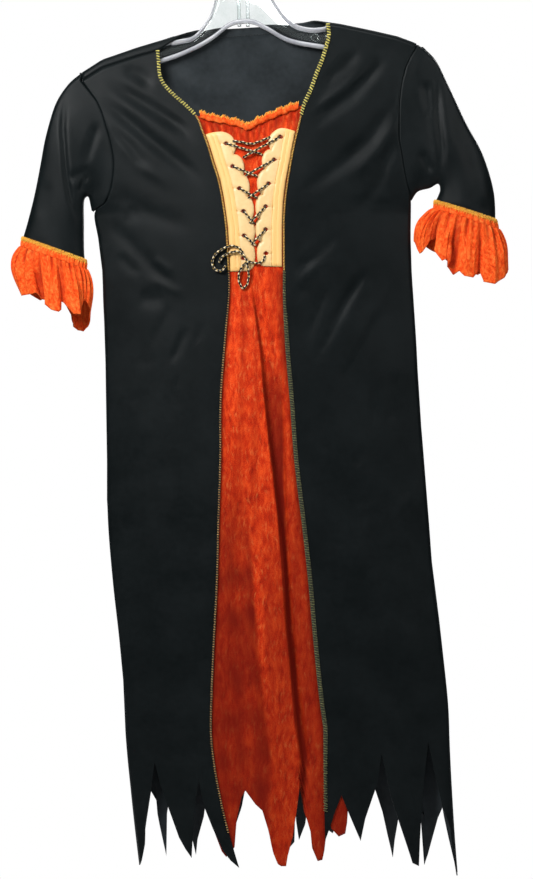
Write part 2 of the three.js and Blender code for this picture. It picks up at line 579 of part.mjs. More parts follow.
// Lacing: each crossing is two stretches of cord joined where they cross
function cord(points, radius, sides = 6) {
  const path = new THREE.CatmullRomCurve3(points, false, "centripetal");
  const section = new THREE.Shape(steps(sides - 1).map((_, index) => {
    const turn = turnAt(index, sides);
    return new THREE.Vector2(radius * Math.cos(turn), radius * Math.sin(turn));
  }));
  const length = path.getLength();
  return new THREE.ExtrudeGeometry(section, {
    extrudePath: path,
    steps: Math.max(4, Math.ceil(length / (2.6 * 2 * radius))),
    bevelEnabled: false,
  });
}
const overPanel = (x, z, lift) => {
  const { point } = panelPoint(x, z);
  return new THREE.Vector3(x, point.y - lift, z);
};
const LACE_LIFT = SEAM_GAP + LACE_RADIUS;
const CROSSINGS = [             // x, z where the two stretches of each row cross
  [18.4, -247], [17.3, -271], [20.5, -294], [18.4, -319], [19.4, -343],
];
const EYELET_DIP = 0.4;         // how much lower the cord starts, in its eyelet
const TAIL_ASIDE = 5.5;         // how far each stretch runs on past the crossing
const TAIL_DOWN = 5;
function laceCross(row) {
  const [crossX, crossZ] = CROSSINGS[row];
  const stretch = ([x, z], way) => cord([
    overPanel(x, z, LACE_LIFT - EYELET_DIP), overPanel(mix(x, crossX, 0.35), mix(z, crossZ, 0.3), LACE_LIFT),
    overPanel(crossX, crossZ, LACE_LIFT), overPanel(crossX + way * TAIL_ASIDE, crossZ - TAIL_DOWN, LACE_LIFT),
  ], LACE_RADIUS);
  return join([stretch(LEFT_EYELETS[row], 1), stretch(RIGHT_EYELETS[row], -1)]);
}
const laceTop = () => cord([
  overPanel(-3.5, -234.5, LACE_LIFT), overPanel(6, -235.5, LACE_LIFT), overPanel(17, -237.5, LACE_LIFT),
  overPanel(29, -233.5, LACE_LIFT), overPanel(36.5, -229.8, LACE_LIFT),
], LACE_RADIUS);

// The tied ends: one from the lowest right eyelet, one from the lowest left. Each row: x, z, lift
const RIGHT_END = [
  [31, -354, 1.7], [29, -360, 1.8], [22, -362.5, 2], [14, -361, 2.4], [8, -365, 2.4], [4, -373, 2.2],
  [4, -382, 2], [8, -388.5, 2], [12.5, -384, 2], [14, -375, 2.6], [13, -367, 4.6], [11.5, -359, 5.6],
  [6, -352, 5.2], [-1, -350.5, 4], [-8, -352.5, 3.6], [-14, -356.5, 3.6], [-17, -362, 3.6],
];
const LEFT_END = [
  [8.6, -352.5, 1.7], [3, -346, 1.9], [-5, -344.5, 3.2], [-13, -347.5, 3.6], [-20.5, -353, 3.6],
  [-24, -361, 3.6], [-21.5, -368.5, 3.8], [-14.5, -370.5, 4.6], [-10, -365, 6],
];
const laceEnd = (table) => cord(table.map(([x, z, lift]) => overPanel(x, z, lift)), LACE_RADIUS, 8);

// Hanger: flange, web and hook of clear plastic
const HANGER_ARM = [            // x, z of the lower flange; the upper one follows the shoulder ridge
  [-158, -178.5], [-142, -172], [-111, -161], [-70, -149], [-44, -138.5], [-24, -127], [-8, -114.5],
  [3, -110.5], [18, -110.5], [33, -117.5], [56, -130], [89, -136.5], [131, -142], [167, -146.5],
  [186, -149],
];
const NECK = [                  // x, z of the upper flange between the shoulders, up to the hook
  [-67, -127.5], [-58, -126], [-43, -121.5], [-28, -103], [-22, -86], [-15, -62], [-3, -47],
  [11, -47], [24, -61], [40, -85], [52, -102], [64, -110.5], [80, -114], [96, -112.5],
];
const RIM_CLEARANCE = 2.2;
const END_HALF = 2.4;           // half the flange's width at the two ends
const END_RUN = 12;             // over which it narrows to that
function hangerTop(x) {
  if (x > NECK[0][0] && x < NECK[NECK.length - 1][0]) return lookUp(NECK, x)[1];
  return ridgeAt(x) - RIM_CLEARANCE;
}
function hangerArms() {
  const stations = [-156, -145, -130, -104, -80, -67, -58, -43, -28, -22, -15, -3, 4, 11, 24, 40, 52, 64,
    80, 96, 120, 145, 165, 180, 187];
  const section = (x) => {
    const top = hangerTop(x);
    const bottom = lookUp(HANGER_ARM, x)[1];
    const [first] = HANGER_ARM[0];
    const [last] = HANGER_ARM[HANGER_ARM.length - 1];
    const inner = Math.min(smooth(first, first + END_RUN, x), smooth(last + 4, last + 4 - END_RUN, x));
    const half = mix(END_HALF, RIM_HALF, inner);
    const height = Math.min(RIM_HEIGHT, (top - bottom) * 0.3);
    const profile = [
      [0, top], [half * 0.7, top - 0.3 * height], [half, top - height], [WEB_HALF, top - 1.3 * height],
      [WEB_HALF, bottom + 1.2 * height], [half, bottom + height], [half, bottom],
    ];
    const back = profile.slice(1).reverse().map(([y, z]) => [-y, z]);
    return [...profile, ...back].map(([y, z]) => new THREE.Vector3(x, y, z));
  };
  return loft(stations.map(section));
}

// A solid through sections of equal length, closed by a fan at each end
function loft(sections) {
  const count = sections[0].length;
  const positions = sections.flat().flatMap((point) => point.toArray());
  const faces = [];
  for (let row = 0; row < sections.length - 1; row += 1) {
    for (let step = 0; step < count; step += 1) {
      const [a, b] = [row * count + step, row * count + ((step + 1) % count)];
      faces.push(a, b, b + count, a, b + count, a + count);
    }
  }
  const last = (sections.length - 1) * count;
  const endFaces = (section) => THREE.ShapeUtils
    .triangulateShape(section.map((point) => new THREE.Vector2(point.y, point.z)), [])
    .map((face) => face.sort((a, b) => a - b));
  endFaces(sections[0]).forEach(([a, b, c]) => faces.push(a, c, b));
  endFaces(sections[sections.length - 1])
    .forEach(([a, b, c]) => faces.push(last + a, last + b, last + c));
  return facingOut(positions, faces);
}

function hook() {
  const rodRadius = HOOK_ROD / 2;
  const bend = HOOK_INNER_RADIUS + rodRadius;
  const centre = new THREE.Vector3(0, 0, -HOOK_INNER_RADIUS);
  const onBend = (degrees) => {
    const turn = THREE.MathUtils.degToRad(degrees);
    return new THREE.Vector3(bend * Math.cos(turn), 0, centre.z + bend * Math.sin(turn));
  };
  const arc = steps(10, 190, -50).map(onBend);
  const neck = [new THREE.Vector3(12, 0, -47), new THREE.Vector3(5, 0, -62)];
  const path = new THREE.CatmullRomCurve3([...arc, ...neck], false, "centripetal");
  const section = new THREE.Shape(steps(7).map((_, index) => {
    const turn = turnAt(index, 8);
    return new THREE.Vector2(rodRadius * Math.cos(turn), rodRadius * Math.sin(turn));
  }));
  return new THREE.ExtrudeGeometry(section, { extrudePath: path, steps: 20, bevelEnabled: false });
}

// Finishes
const material = (color, roughness, metalness = 0) =>
  new THREE.MeshStandardMaterial({ color, roughness, metalness });
const blackKnit = material("#141a1c", 0.62);
const orangeVelvet = material("#c8381a", 0.7);
const ruffleVelvet = material("#f0561f", 0.7);
const creamSatin = material("#f4d28e", 0.45);
const goldSerging = material("#b99a3c", 0.5);
const yellowSerging = material("#f2a52e", 0.6);
const laceBraid = material("#2a2620", 0.6);
const clearPlastic = material("#e4e8ea", 0.15);

const costume = new THREE.Group();
function add(name, geometry, finish) {
  const mesh = new THREE.Mesh(geometry, finish);
  mesh.name = name;
  costume.add(mesh);
}

add("hanger", join([hangerArms(), hook()]), clearPlastic);
add("back", clothWall(backPlaces(), CLOTH), blackKnit);
add("front_left", clothWall(leftFrontPlaces, CLOTH), blackKnit);
add("front_right", clothWall(rightFrontPlaces, CLOTH), blackKnit);
add("sleeve_left", clothWall(sleevePlaces(LEFT_SLEEVE, LEFT_ARMHOLE, 1), CLOTH, { closedAcross: true }),
  blackKnit);
add("sleeve_right", clothWall(sleevePlaces(RIGHT_SLEEVE, RIGHT_ARMHOLE, -1), CLOTH,
  { closedAcross: true }), blackKnit);
add("cuff_band_left", clothWall(bandPlaces(LEFT_CUFF, 1), CLOTH, { closedAcross: true }), yellowSerging);
add("cuff_band_right", clothWall(bandPlaces(RIGHT_CUFF, -1), CLOTH, { closedAcross: true }),
  yellowSerging);
add("cuff_ruffle_left", clothWall(rufflePlaces(LEFT_CUFF, 1), CLOTH, { closedAcross: true }),
  ruffleVelvet);
add("cuff_ruffle_right", clothWall(rufflePlaces(RIGHT_CUFF, -1), CLOTH, { closedAcross: true }),
  ruffleVelvet);
add("velvet_front", clothWall(velvetPlaces(), CLOTH), orangeVelvet);
add("velvet_heading", clothWall(headingPlaces(), CLOTH), yellowSerging);
add("lacing_panel_left", lacingPanel("left"), creamSatin);
add("lacing_panel_right", lacingPanel("right"), creamSatin);
add("edging_left", edging(leftFrontPlaces, 3), goldSerging);
add("edging_right", edging(rightFrontPlaces, 4), goldSerging);
CROSSINGS.forEach((_, row) => add(`lace_crossing_${row + 1}`, laceCross(row), laceBraid));
add("lace_top", laceTop(), laceBraid);
add("lace_end_right", laceEnd(RIGHT_END), laceBraid);
add("lace_end_left", laceEnd(LEFT_END), laceBraid);

export default costume;
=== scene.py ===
import json
import math

import bpy
import numpy as np
from mathutils.geometry import delaunay_2d_cdt
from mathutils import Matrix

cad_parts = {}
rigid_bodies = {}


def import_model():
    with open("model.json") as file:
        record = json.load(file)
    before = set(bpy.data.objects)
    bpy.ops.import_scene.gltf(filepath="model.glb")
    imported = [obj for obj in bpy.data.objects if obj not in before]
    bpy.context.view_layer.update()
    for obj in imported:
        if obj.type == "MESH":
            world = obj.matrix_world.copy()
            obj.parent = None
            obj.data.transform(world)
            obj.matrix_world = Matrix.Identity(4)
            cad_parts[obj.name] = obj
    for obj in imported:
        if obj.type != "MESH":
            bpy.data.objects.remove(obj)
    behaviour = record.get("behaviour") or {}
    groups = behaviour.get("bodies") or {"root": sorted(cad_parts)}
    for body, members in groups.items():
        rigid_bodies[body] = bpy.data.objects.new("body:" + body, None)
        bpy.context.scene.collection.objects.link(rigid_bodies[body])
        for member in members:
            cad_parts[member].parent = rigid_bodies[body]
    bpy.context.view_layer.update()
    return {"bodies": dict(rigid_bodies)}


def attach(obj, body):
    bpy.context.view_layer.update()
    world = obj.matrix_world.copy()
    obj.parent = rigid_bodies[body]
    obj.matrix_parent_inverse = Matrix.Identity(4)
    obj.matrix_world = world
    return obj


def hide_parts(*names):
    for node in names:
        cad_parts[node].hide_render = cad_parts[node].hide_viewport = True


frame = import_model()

BODY = next(iter(frame["bodies"]))
MM = 0.001

# Sizes that the cloth, the trims and the cord are made to
CLOTH = 1.2
SATIN = 1.4
SEAM_GAP = 0.3
UNDERLAP_GAP = 0.6
UNDERLAP = 7
FOLD_RADIUS = 6.2
DEPTH_SLOPE = 0.1
EYELET_RADIUS = 2.2
LACE_RADIUS = 1.3
PANEL_INSET = 1.2
VELVET_SET = -(CLOTH + UNDERLAP_GAP)
PANEL_SET = VELVET_SET + SEAM_GAP + SATIN
LACE_LIFT = SEAM_GAP + LACE_RADIUS
ROW_STEP = 2.7                  # how far apart the rows of a cloth mesh lie
HEM_BASE = -845                 # where the pointed tabs begin
HEM_TIPS = -1000                # about where they end
HEM_ROWS = 44
FRONT_COLUMNS, BACK_COLUMNS, VELVET_COLUMNS = 56, 92, 58
RAISED_ROWS = 9                 # of a front, below its shoulder seam
YOKE_ROWS = 15                  # of the back, over the hanger's rim
NECK_HEM = 8.0                  # from the back's neckline to its stitching
CREASE_START, CREASE_END = 0.3, 0.65    # shares of a crease's length where it is full and starts to fade
RAISED_SIDES = 0.3              # of a crease's depth, on either side of it
CLEAR_OF_KEYS = 0.3             # of a column's width, between even columns and the points of a hem
SEAM_PINCH, SEAM_REACH = 0.96, 0.008    # how far a side seam closes, and over what share of the width
UNDERARM = (-302, -312)         # where the side seams begin to hold front and back together
CORD_SIDES, CORD_STEP = 14, 0.7
BRAID_TURN = 1.37               # how fast the ridges wind round the cord
BRAID_ROUND, BRAID_PITCH = 0.00817, 0.0078      # metres round the cord, and along it for one strand
FULL_TURN = 6.2832
CUFF_GATHERS = 27
BAND_ROWS, BAND_COLUMNS = 10, 300
RUFFLE_ROWS = 34
SLEEVE_ROWS, SLEEVE_COLUMNS = 62, 150
CLEAR_ROUND_TUBE = 0.4          # of a column's width, as on the flat panels
TUCK_UP, TUCK_IN = 2.6, 2.2     # how far a sleeve's top goes under the armhole's edge
VELVET_LEVEL = -208.0           # near the velvet's top edge
VELVET_PLEATS = 17
PLATEAU = 27                    # how far the velvet is raised left of its fold, low down
HEADING_GATHERS, HEADING_ROWS = 23, 9
NECK_MIDDLE, NECK_HALF = 4, 78  # the part of the back's top that is stitched
CLEAR_OF_RIM = 0.7              # from a satin panel's outline and eyelets to its inner points
ARM_LEFT, ARM_RIGHT, ARM_TAPER = -158, 190, 12
PANEL_GRID = 1.5                # between the points of a satin panel's mesh

# Outline of the hung garment, as seen from the front
SHOULDER_RIDGE = [              # x, z
    (-178, -176), (-161, -161), (-140, -147.5), (-104, -135), (-67, -124), (-47, -118), (-32, -110),
    (-11, -102), (26, -98), (52, -101), (73, -105), (96, -108), (110, -110), (144, -117),
    (170, -123), (189, -130), (192, -132), (210, -148),
]
SIDES = [                       # z, left edge, right edge
    (-159, -200, 251), (-190, -197, 244), (-232, -190, 234), (-264, -178, 221), (-290, -163, 202),
    (-300, -155, 190), (-309, -148, 184), (-337, -144, 184), (-369, -140, 185), (-421, -138, 188),
    (-484, -136, 192), (-547, -135, 196), (-610, -135, 201), (-673, -131, 206), (-736, -124, 214),
    (-799, -118, 221), (-862, -115, 225), (-925, -111, 228), (-1009, -103, 234),
]
HALF_DEPTH = [(-100, 14), (-200, 16), (-300, 19), (-500, 23), (-800, 27), (-1010, 30)]
ARMHOLE_AND_SIDE = [            # z, left and right edge of the back
    (-132, -161, 190), (-145, -161, 184), (-156, -161, 179), (-170, -161, 175), (-183, -152, 173),
    (-193, -145, 172), (-205, -140, 172), (-219, -136, 172), (-233, -132, 172), (-247, -129, 175),
    (-260, -128, 177), (-273, -129, 179), (-287, -132, 182), (-299, -137, 184), (-309, -148, 184),
    (-337, -144, 184), (-369, -140, 185), (-421, -138, 188), (-484, -136, 192), (-547, -135, 196),
    (-610, -135, 201), (-673, -131, 206), (-736, -124, 214), (-799, -118, 221), (-867, -115, 225),
    (-925, -111, 228), (-1009, -103, 234),
]
SEAM_RUN = [                    # x, run over the rim of the shoulder seam and the back neckline
    (-161, -12.3), (-80, -14.2), (-70, -10), (-60, -5), (-50, 0), (-40, 5), (-32, 9.9), (-11, 16.5),
    (26, 18.2), (52, 12.5), (73, 6.6), (80, 3), (88, -1.5), (95, -6.2), (190, -6.8),
]
YOKE_RUN = 26
NECK_ENDS = (-78, 86)

# Each row runs across a black front: outer x, outer z, inner x, inner z
LEFT_FRONT = [
    (-161, -170, -80, -139), (-152, -183, -79, -150), (-145, -193, -78, -163), (-140, -205, -74, -173),
    (-136, -219, -64, -184), (-132, -233, -52, -195), (-129, -247, -40, -208), (-128, -260, -34, -223),
    (-129, -273, -28, -239), (-132, -287, -23, -256), (-137, -299, -17, -275), (-148, -309, -13, -295),
    (-144, -337, -9, -324), (-140, -369, -7, -358), (-139, -400, -6, -392), (-137, -447, -10, -442),
    (-136, -505, -14.5, -505), (-135, -568, -14.9, -568), (-134, -631, -16.8, -631),
    (-129, -694, -18.4, -694), (-122, -757, -21.6, -757), (-116, -820, -24.2, -820),
    (-115, -867, -25, -867),
]
RIGHT_FRONT = [
    (190, -134, 95, -111), (184, -145, 96, -123), (179, -156, 93, -135), (175, -171, 89, -148),
    (173, -185, 83, -163), (172, -201, 77, -180), (172, -216, 70, -196), (172, -232, 66, -216),
    (175, -248, 61, -237), (178, -266, 56, -264), (181, -280, 52, -290), (184, -296, 50, -316),
    (184, -337, 50, -342), (185, -369, 50, -369), (187, -400, 49.8, -400), (190, -447, 52, -447),
    (193, -505, 56.8, -505), (198, -568, 61.5, -568), (203, -631, 69, -631), (208, -694, 76, -694),
    (216, -757, 81.5, -757), (223, -820, 88, -820), (225, -867, 95, -867),
]
LAST_STOP = 21.5                # the row, of those above, where the tabs begin

# Pointed hems: place across the panel, x, z
LEFT_HEM = [
    (0, -101.1, -993.3), (0.026, -98.4, -986), (0.073, -95.4, -970.8), (0.138, -94.6, -949.2),
    (0.19, -92.7, -932.2), (0.237, -89, -917.7), (0.34, -84.5, -884.1), (0.388, -79.8, -903),
    (0.432, -74.5, -919.8), (0.49, -66.7, -940.8), (0.549, -58.8, -962.4), (0.588, -52, -974.4),
    (0.62, -45.7, -983.3), (0.665, -44.6, -965), (0.707, -43.6, -948.2), (0.764, -42, -925.1),
    (0.82, -38.3, -903), (0.84, -35.7, -915.6), (0.865, -32.2, -930.9), (0.904, -23.6, -952.4),
    (0.949, -13.1, -975.5), (0.975, -4.7, -986), (1, 4, -993.3),
]
RIGHT_HEM = [
    (0, 233.2, -1004.3), (0.021, 230.5, -989.1), (0.062, 226.9, -958.7), (0.085, 222.1, -944),
    (0.105, 217.2, -931.4), (0.151, 209.5, -898.8), (0.2, 202, -864.2), (0.235, 197.9, -898.8),
    (0.274, 194.8, -936.6), (0.302, 193.1, -965), (0.33, 191.9, -992.2), (0.35, 185.3, -989.1),
    (0.383, 179.9, -972.3), (0.432, 171.7, -947.7), (0.483, 163.3, -921.9), (0.57, 152.8, -874.7),
    (0.619, 148.2, -906.2), (0.655, 141.2, -926.1), (0.683, 135.7, -941.9), (0.72, 130.7, -965),
    (0.774, 123.4, -948.2), (0.827, 116.3, -931.4), (0.87, 110.8, -917.7), (0.915, 104.5, -933.5),
    (0.965, 98.2, -952.4), (1, 93.7, -965),
]
BACK_HEM = [
    (0, -100.3, -990.2), (0.033, -94, -946.1), (0.055, -89.2, -916.7), (0.066, -83.1, -927.2),
    (0.084, -79.7, -951.3), (0.099, -75.9, -970.8), (0.11, -73, -984.6), (0.117, -72.8, -963.6),
    (0.125, -72.6, -940.8), (0.14, -66.7, -899.9), (0.159, -56.2, -925.1), (0.173, -49.9, -945),
    (0.186, -46.7, -965), (0.2, -41.9, -985.3), (0.212, -40.2, -968.4), (0.23, -33.5, -944.3),
    (0.25, -29.9, -914.6), (0.275, -18.4, -940.8), (0.3, -4.7, -965), (0.323, 1.6, -948.2),
    (0.343, 6.6, -933.5), (0.37, 11, -911.4), (0.403, 27.8, -930.3), (0.438, 41.5, -956.6),
    (0.47, 54.1, -981.2), (0.48, 62, -972.3), (0.492, 62.5, -951.3), (0.505, 63.9, -930.3),
    (0.513, 65.2, -951.3), (0.52, 67.2, -969.8), (0.542, 73.5, -953.4), (0.56, 75.6, -937.7),
    (0.591, 86.6, -951.3), (0.63, 102.4, -962.9), (0.66, 111.8, -940.8), (0.69, 120.2, -916.7),
    (0.75, 145.4, -910.4), (0.773, 154.9, -939.4), (0.791, 160.1, -962.9), (0.81, 166.1, -987.7),
    (0.82, 167.9, -969.8), (0.833, 171.7, -947.1), (0.85, 176.9, -916.7), (0.872, 198.6, -940.8),
    (0.9, 198.6, -994.4), (0.909, 202.5, -983.6), (0.94, 213, -945), (0.95, 217.9, -933.5),
    (0.975, 225.2, -967.1), (1, 233.2, -1000.7),
]
VELVET_HEM = [
    (0, -29.9, -925.1), (0.056, -22.6, -954.5), (0.103, -14.2, -976.5), (0.12, -9.5, -982.3),
    (0.148, -5.8, -978.6), (0.19, -0.8, -972.1), (0.228, 1.6, -941.9), (0.258, 6.4, -919.8),
    (0.27, 10.5, -912.9), (0.326, 21, -927.2), (0.36, 28.2, -933.5), (0.41, 34.1, -952.4),
    (0.475, 40.3, -978.1), (0.506, 44.6, -989.1), (0.519, 47.8, -991.2), (0.54, 53, -991.2),
    (0.558, 54.7, -980.7), (0.592, 59.7, -961.5), (0.638, 63.8, -933.9), (0.68, 67.3, -908.2),
    (0.712, 72.1, -933.9), (0.741, 78.6, -956), (0.76, 80.3, -972.3), (0.78, 86, -986),
    (0.792, 90.8, -984.9), (0.807, 92.9, -975.5), (0.86, 97.1, -940.8), (0.887, 100.3, -952.4),
    (0.92, 108, -960.8), (0.944, 114.8, -957.6), (0.969, 116.7, -946.1), (1, 117.7, -931.4),
]

# Creases of the cloth: half width, depth (below 0 a ridge), then the points x, z that each runs through
LEFT_CREASES = [
    (9, 2.6, [(-121.3, -152.2), (-102.4, -162.8), (-82.4, -177.5)]),
    (8, 3.0, [(-139.1, -169.1), (-89.8, -198.5), (-32, -236.2)]),
    (8, 3.4, [(-145.4, -183.8), (-89.8, -232.1), (-23.6, -285.6)]),
    (7, 2.0, [(-134.9, -218.4), (-110.8, -240.5), (-90.8, -270.9)]),
    (6, -1.6, [(-143.3, -209), (-100.3, -259.4), (-58.3, -286.7)]),
    (9, 1.8, [(-129.7, -284.6), (-89.8, -310.8), (-39.4, -328.7)]),
    (8, 2.4, [(-138.1, -313.9), (-105.5, -345.4), (-60.4, -392.7)]),
    (6, 1.6, [(-124.4, -351.8), (-98.2, -375.9)]),
    (9, 2.6, [(-102.4, -396.9), (-87.7, -400.1), (-73, -395.9)]),
    (5, -1.6, [(-87.7, -355.9), (-63.5, -373.8)]),
    (5, -1.4, [(-91.9, -376.9), (-50.9, -396.9)]),
    (5, 1.4, [(-115, -324.4), (-107.6, -307.7), (-100.3, -322.4)]),
    (4.5, 2.6, [(-50.9, -427.4), (-58.3, -448.4), (-68.1, -469.4)]),
    (4, 1.2, [(-59.3, -475.7), (-63.5, -496.7), (-61.4, -515.6)]),
    (5, 0.9, [(-33.1, -424.2), (-41.5, -447.3)]),
    (9, -1.0, [(-89.8, -463.1), (-105.5, -505.1)]),
    (9, 1.0, [(-89.8, -536.6), (-100.3, -578.6)]),
    (6, 1.0, [(-62.5, -400.1), (-79.3, -431.6), (-89.8, -454.7)]),
    (16, 1.4, [(-112.9, -505.1), (-110.8, -631.1), (-106.6, -757.1)]),
    (18, -1.4, [(-70.9, -547.1), (-73, -673.1), (-77.2, -820.1)]),
    (14, 1.3, [(-41.5, -578.6), (-43.6, -715.1), (-45.7, -862.1)]),
    (12, 1.2, [(-89.8, -715.1), (-87.7, -820.1), (-83.5, -878.9)]),
]
RIGHT_CREASES = [
    (7, 2.6, [(132.8, -137.6), (109.7, -158.6), (81.4, -180.6)]),
    (7, 3.6, [(161.2, -142.8), (120.2, -188), (69.8, -222.6)]),
    (8, 3.4, [(170.6, -184.8), (139.1, -232.1), (109.7, -259.4), (56.2, -297.2)]),
    (7, 2.4, [(170.6, -220.5), (148.6, -281.4), (109.7, -328.7)]),
    (5, -1.6, [(143.3, -154.3), (109.7, -181.7), (80.3, -202.7)]),
    (6, -1.8, [(176.9, -202.7), (151.7, -242.6), (115, -279.3)]),
    (6, 3.0, [(139.1, -364.4), (120.2, -395.9), (97.1, -431.6)]),
    (7, 2.4, [(109.7, -328.7), (83.5, -355.9), (56.2, -378)]),
    (5, 1.8, [(79.3, -355.9), (55.8, -375.9)]),
    (5, 2.0, [(75.1, -388.5), (55.8, -399.6)]),
    (5, -1.8, [(97.1, -355.9), (73, -373.8), (55.1, -390.6)]),
    (5, 2.6, [(140.2, -364.9), (116.6, -399.6), (107.6, -419), (77.2, -475.7)]),
    (5, 1.6, [(97.1, -384.3), (82.4, -421.1), (68.8, -449.4)]),
    (6, -1.8, [(160.1, -378), (146.5, -410.6), (120.2, -463.1), (109.7, -486.2)]),
    (5, 1.6, [(155.9, -400.1), (132.8, -447.3), (104.5, -496.7)]),
    (5, 1.2, [(149.1, -482), (147.5, -505.1), (144.4, -534.5)]),
    (5, 1.2, [(170.6, -471.5), (166.4, -505.1), (160.1, -538.6)]),
    (5, 1.6, [(136, -555.5), (123.1, -577.5)]),
    (5, -1.0, [(186, -601.6), (170.6, -622.6)]),
    (5, -0.9, [(123.1, -625.3), (158, -608)]),
    (4, 0.9, [(107.6, -630), (116, -639.5)]),
    (16, 1.4, [(176.9, -463.1), (183.2, -589.1), (193.7, -736.1)]),
    (18, -1.4, [(122.3, -589.1), (132.8, -715.1), (143.3, -820.1)]),
    (14, 1.2, [(204.2, -631.1), (210.5, -757.1), (214.7, -841.1)]),
    (12, 1.2, [(99.2, -673.1), (107.6, -778.1), (116, -862.1)]),
]
LEFT_SLEEVE_CREASES = [
    (3.2, 2.0, [(-179, -181), (-181, -220), (-177, -269), (-172, -297), (-160, -330)]),
    (5, 1.8, [(-176, -272), (-165, -270), (-152, -262)]),
    (5, 1.4, [(-142.3, -211.1), (-159.1, -263.6)]),
    (7, 0.8, [(-196.9, -274.1), (-205.3, -316.1)]),
    (4, 1.6, [(-153.8, -266.7), (-159.1, -277.2), (-163.3, -290.9)]),
]
RIGHT_SLEEVE_CREASES = [
    (4, 2.4, [(211, -162), (212.6, -207.9), (215.8, -242.6), (215.8, -275.1)]),
    (7, 1.1, [(227.3, -200.6), (242, -242.6), (250.4, -284.6)]),
    (6, 2.0, [(197.9, -169.1), (206.3, -211.1)]),
    (5, 1.6, [(193.7, -242.6), (206.3, -269.9)]),
    (7, -1.4, [(256.7, -263.6), (260.9, -305.6)]),
]

# The velvet centre front
FRONT_EDGES = [                 # z, inner edge of the left front, inner edge of the right front
    (-195, -52, 71), (-208, -40, 68), (-223, -34, 64), (-239, -28, 61), (-256, -23, 58), (-275, -17, 54),
    (-295, -13, 51.5), (-324, -9, 50), (-358, -7, 50), (-392, -6, 50), (-442, -10, 51.7),
    (-505, -14.5, 56.8), (-568, -14.9, 61.5), (-631, -16.8, 69), (-694, -18.4, 76), (-757, -21.6, 81.5),
    (-820, -24.2, 88), (-867, -25, 95), (-900, -21, 95), (-928, -15.7, 95), (-959, -7.3, 95),
    (-993, 4, 95),
]
VELVET_FOLD = [                 # z, x of the fold's sharp edge, its height, width and depth of the recess
    (-380, 15.5, 0, 6, 0), (-397, 17.3, 1.6, 12, 1.2), (-452, 25.7, 3.5, 20, 2.6),
    (-491, 28.7, 4.6, 20, 3.6), (-539, 33.7, 5.6, 16, 4.2), (-592, 40, 6, 10, 4.6),
    (-630, 44.3, 6.2, 7.6, 4.8), (-673, 47.8, 6.2, 6.4, 5), (-711, 50.3, 6.2, 5.8, 5),
    (-791, 57.5, 6.2, 6, 5), (-841, 62, 6.2, 7, 5), (-879, 68, 6, 7, 4), (-908, 67, 5, 6, 3),
    (-1010, 60, 4, 5, 2),
]
VELVET_TOP = [
    (-47, -206), (-38, -208), (-23, -212), (-11, -214), (7, -218), (11, -222), (28, -213), (52, -203),
    (69, -197), (77, -195),
]
HEADING_FROM, HEADING_TO = -37, 66

# The lacing panels: each scallop runs from a notch by a bulge to the next notch
LEFT_PANEL_TOP = [(-27, -226), (-19, -224.6), (-11, -225), (-4, -229), (-0.5, -235), (0.7, -241)]
LEFT_NOTCHES = [(-1.6, -248), (8, -270), (12, -292), (15.5, -318), (16.5, -341), (18, -367)]
LEFT_BULGES = [(9.4, -262), (15, -283), (19.5, -306), (20.7, -329), (20.7, -354)]
RIGHT_PANEL_TOP = [(58, -222.5), (52, -221), (45, -221.4), (38.5, -226), (35.2, -231), (34.5, -236)]
RIGHT_NOTCHES = [(36.5, -243), (31, -264), (27.5, -290), (24.5, -316), (26.8, -340), (24.5, -362)]
RIGHT_BULGES = [(27.6, -255), (22.5, -278), (21, -303), (21, -327), (22.5, -351)]
LEFT_EYELETS = [(-9.6, -237), (-2.7, -261), (4.3, -284), (8.5, -308), (9.1, -333.5), (8.4, -357)]
RIGHT_EYELETS = [(46.7, -230), (40.4, -254), (34.8, -279), (31.7, -303), (31.7, -327), (32, -352)]
PANEL_BOTTOM = {"left": -371, "right": -366}
BAND_LINES = (6.3, 11.2)        # the double stitching, from the panel's outer edge

# Sleeves: outer fold x, z, underarm x, z; and the armholes: place, x, z
LEFT_SLEEVE = [
    (-165.4, -165, -149, -308), (-178, -176.5, -152.8, -293), (-190.6, -196, -158, -294),
    (-199, -227, -159.6, -302), (-205, -258, -159.6, -316), (-212.6, -295, -159, -337),
    (-223, -335, -158, -359),
]
RIGHT_SLEEVE = [
    (191.8, -132, 185, -295.5), (210.5, -148, 191.6, -286), (225, -177.5, 204, -282.5),
    (242, -215, 212.6, -278.5), (260, -248, 214.6, -284.6), (271, -285, 212.6, -291),
    (273, -317, 210, -296.5),
]
LEFT_ARMHOLE = [
    (0, -163, -162.6), (0.07, -163.2, -170.8), (0.15, -153, -183.5), (0.22, -145.5, -193),
    (0.3, -140.5, -205), (0.4, -136.5, -219), (0.49, -132.5, -233), (0.58, -129.5, -247),
    (0.66, -128.5, -260), (0.74, -129.5, -273), (0.83, -132.5, -287), (0.91, -139, -299),
    (0.96, -145, -302.5), (1, -151, -306.5),
]
RIGHT_ARMHOLE = [
    (0, 191.5, -131.9), (0.07, 191.5, -134.4), (0.14, 184.5, -145), (0.21, 179.5, -156),
    (0.29, 175.5, -171), (0.37, 173.5, -185), (0.46, 172.5, -201), (0.55, 172.5, -216),
    (0.64, 172.5, -232), (0.74, 175.5, -248), (0.84, 178.5, -266), (0.93, 181.5, -281),
    (1, 185, -295.5),
]
SLEEVE_DEPTH = 15

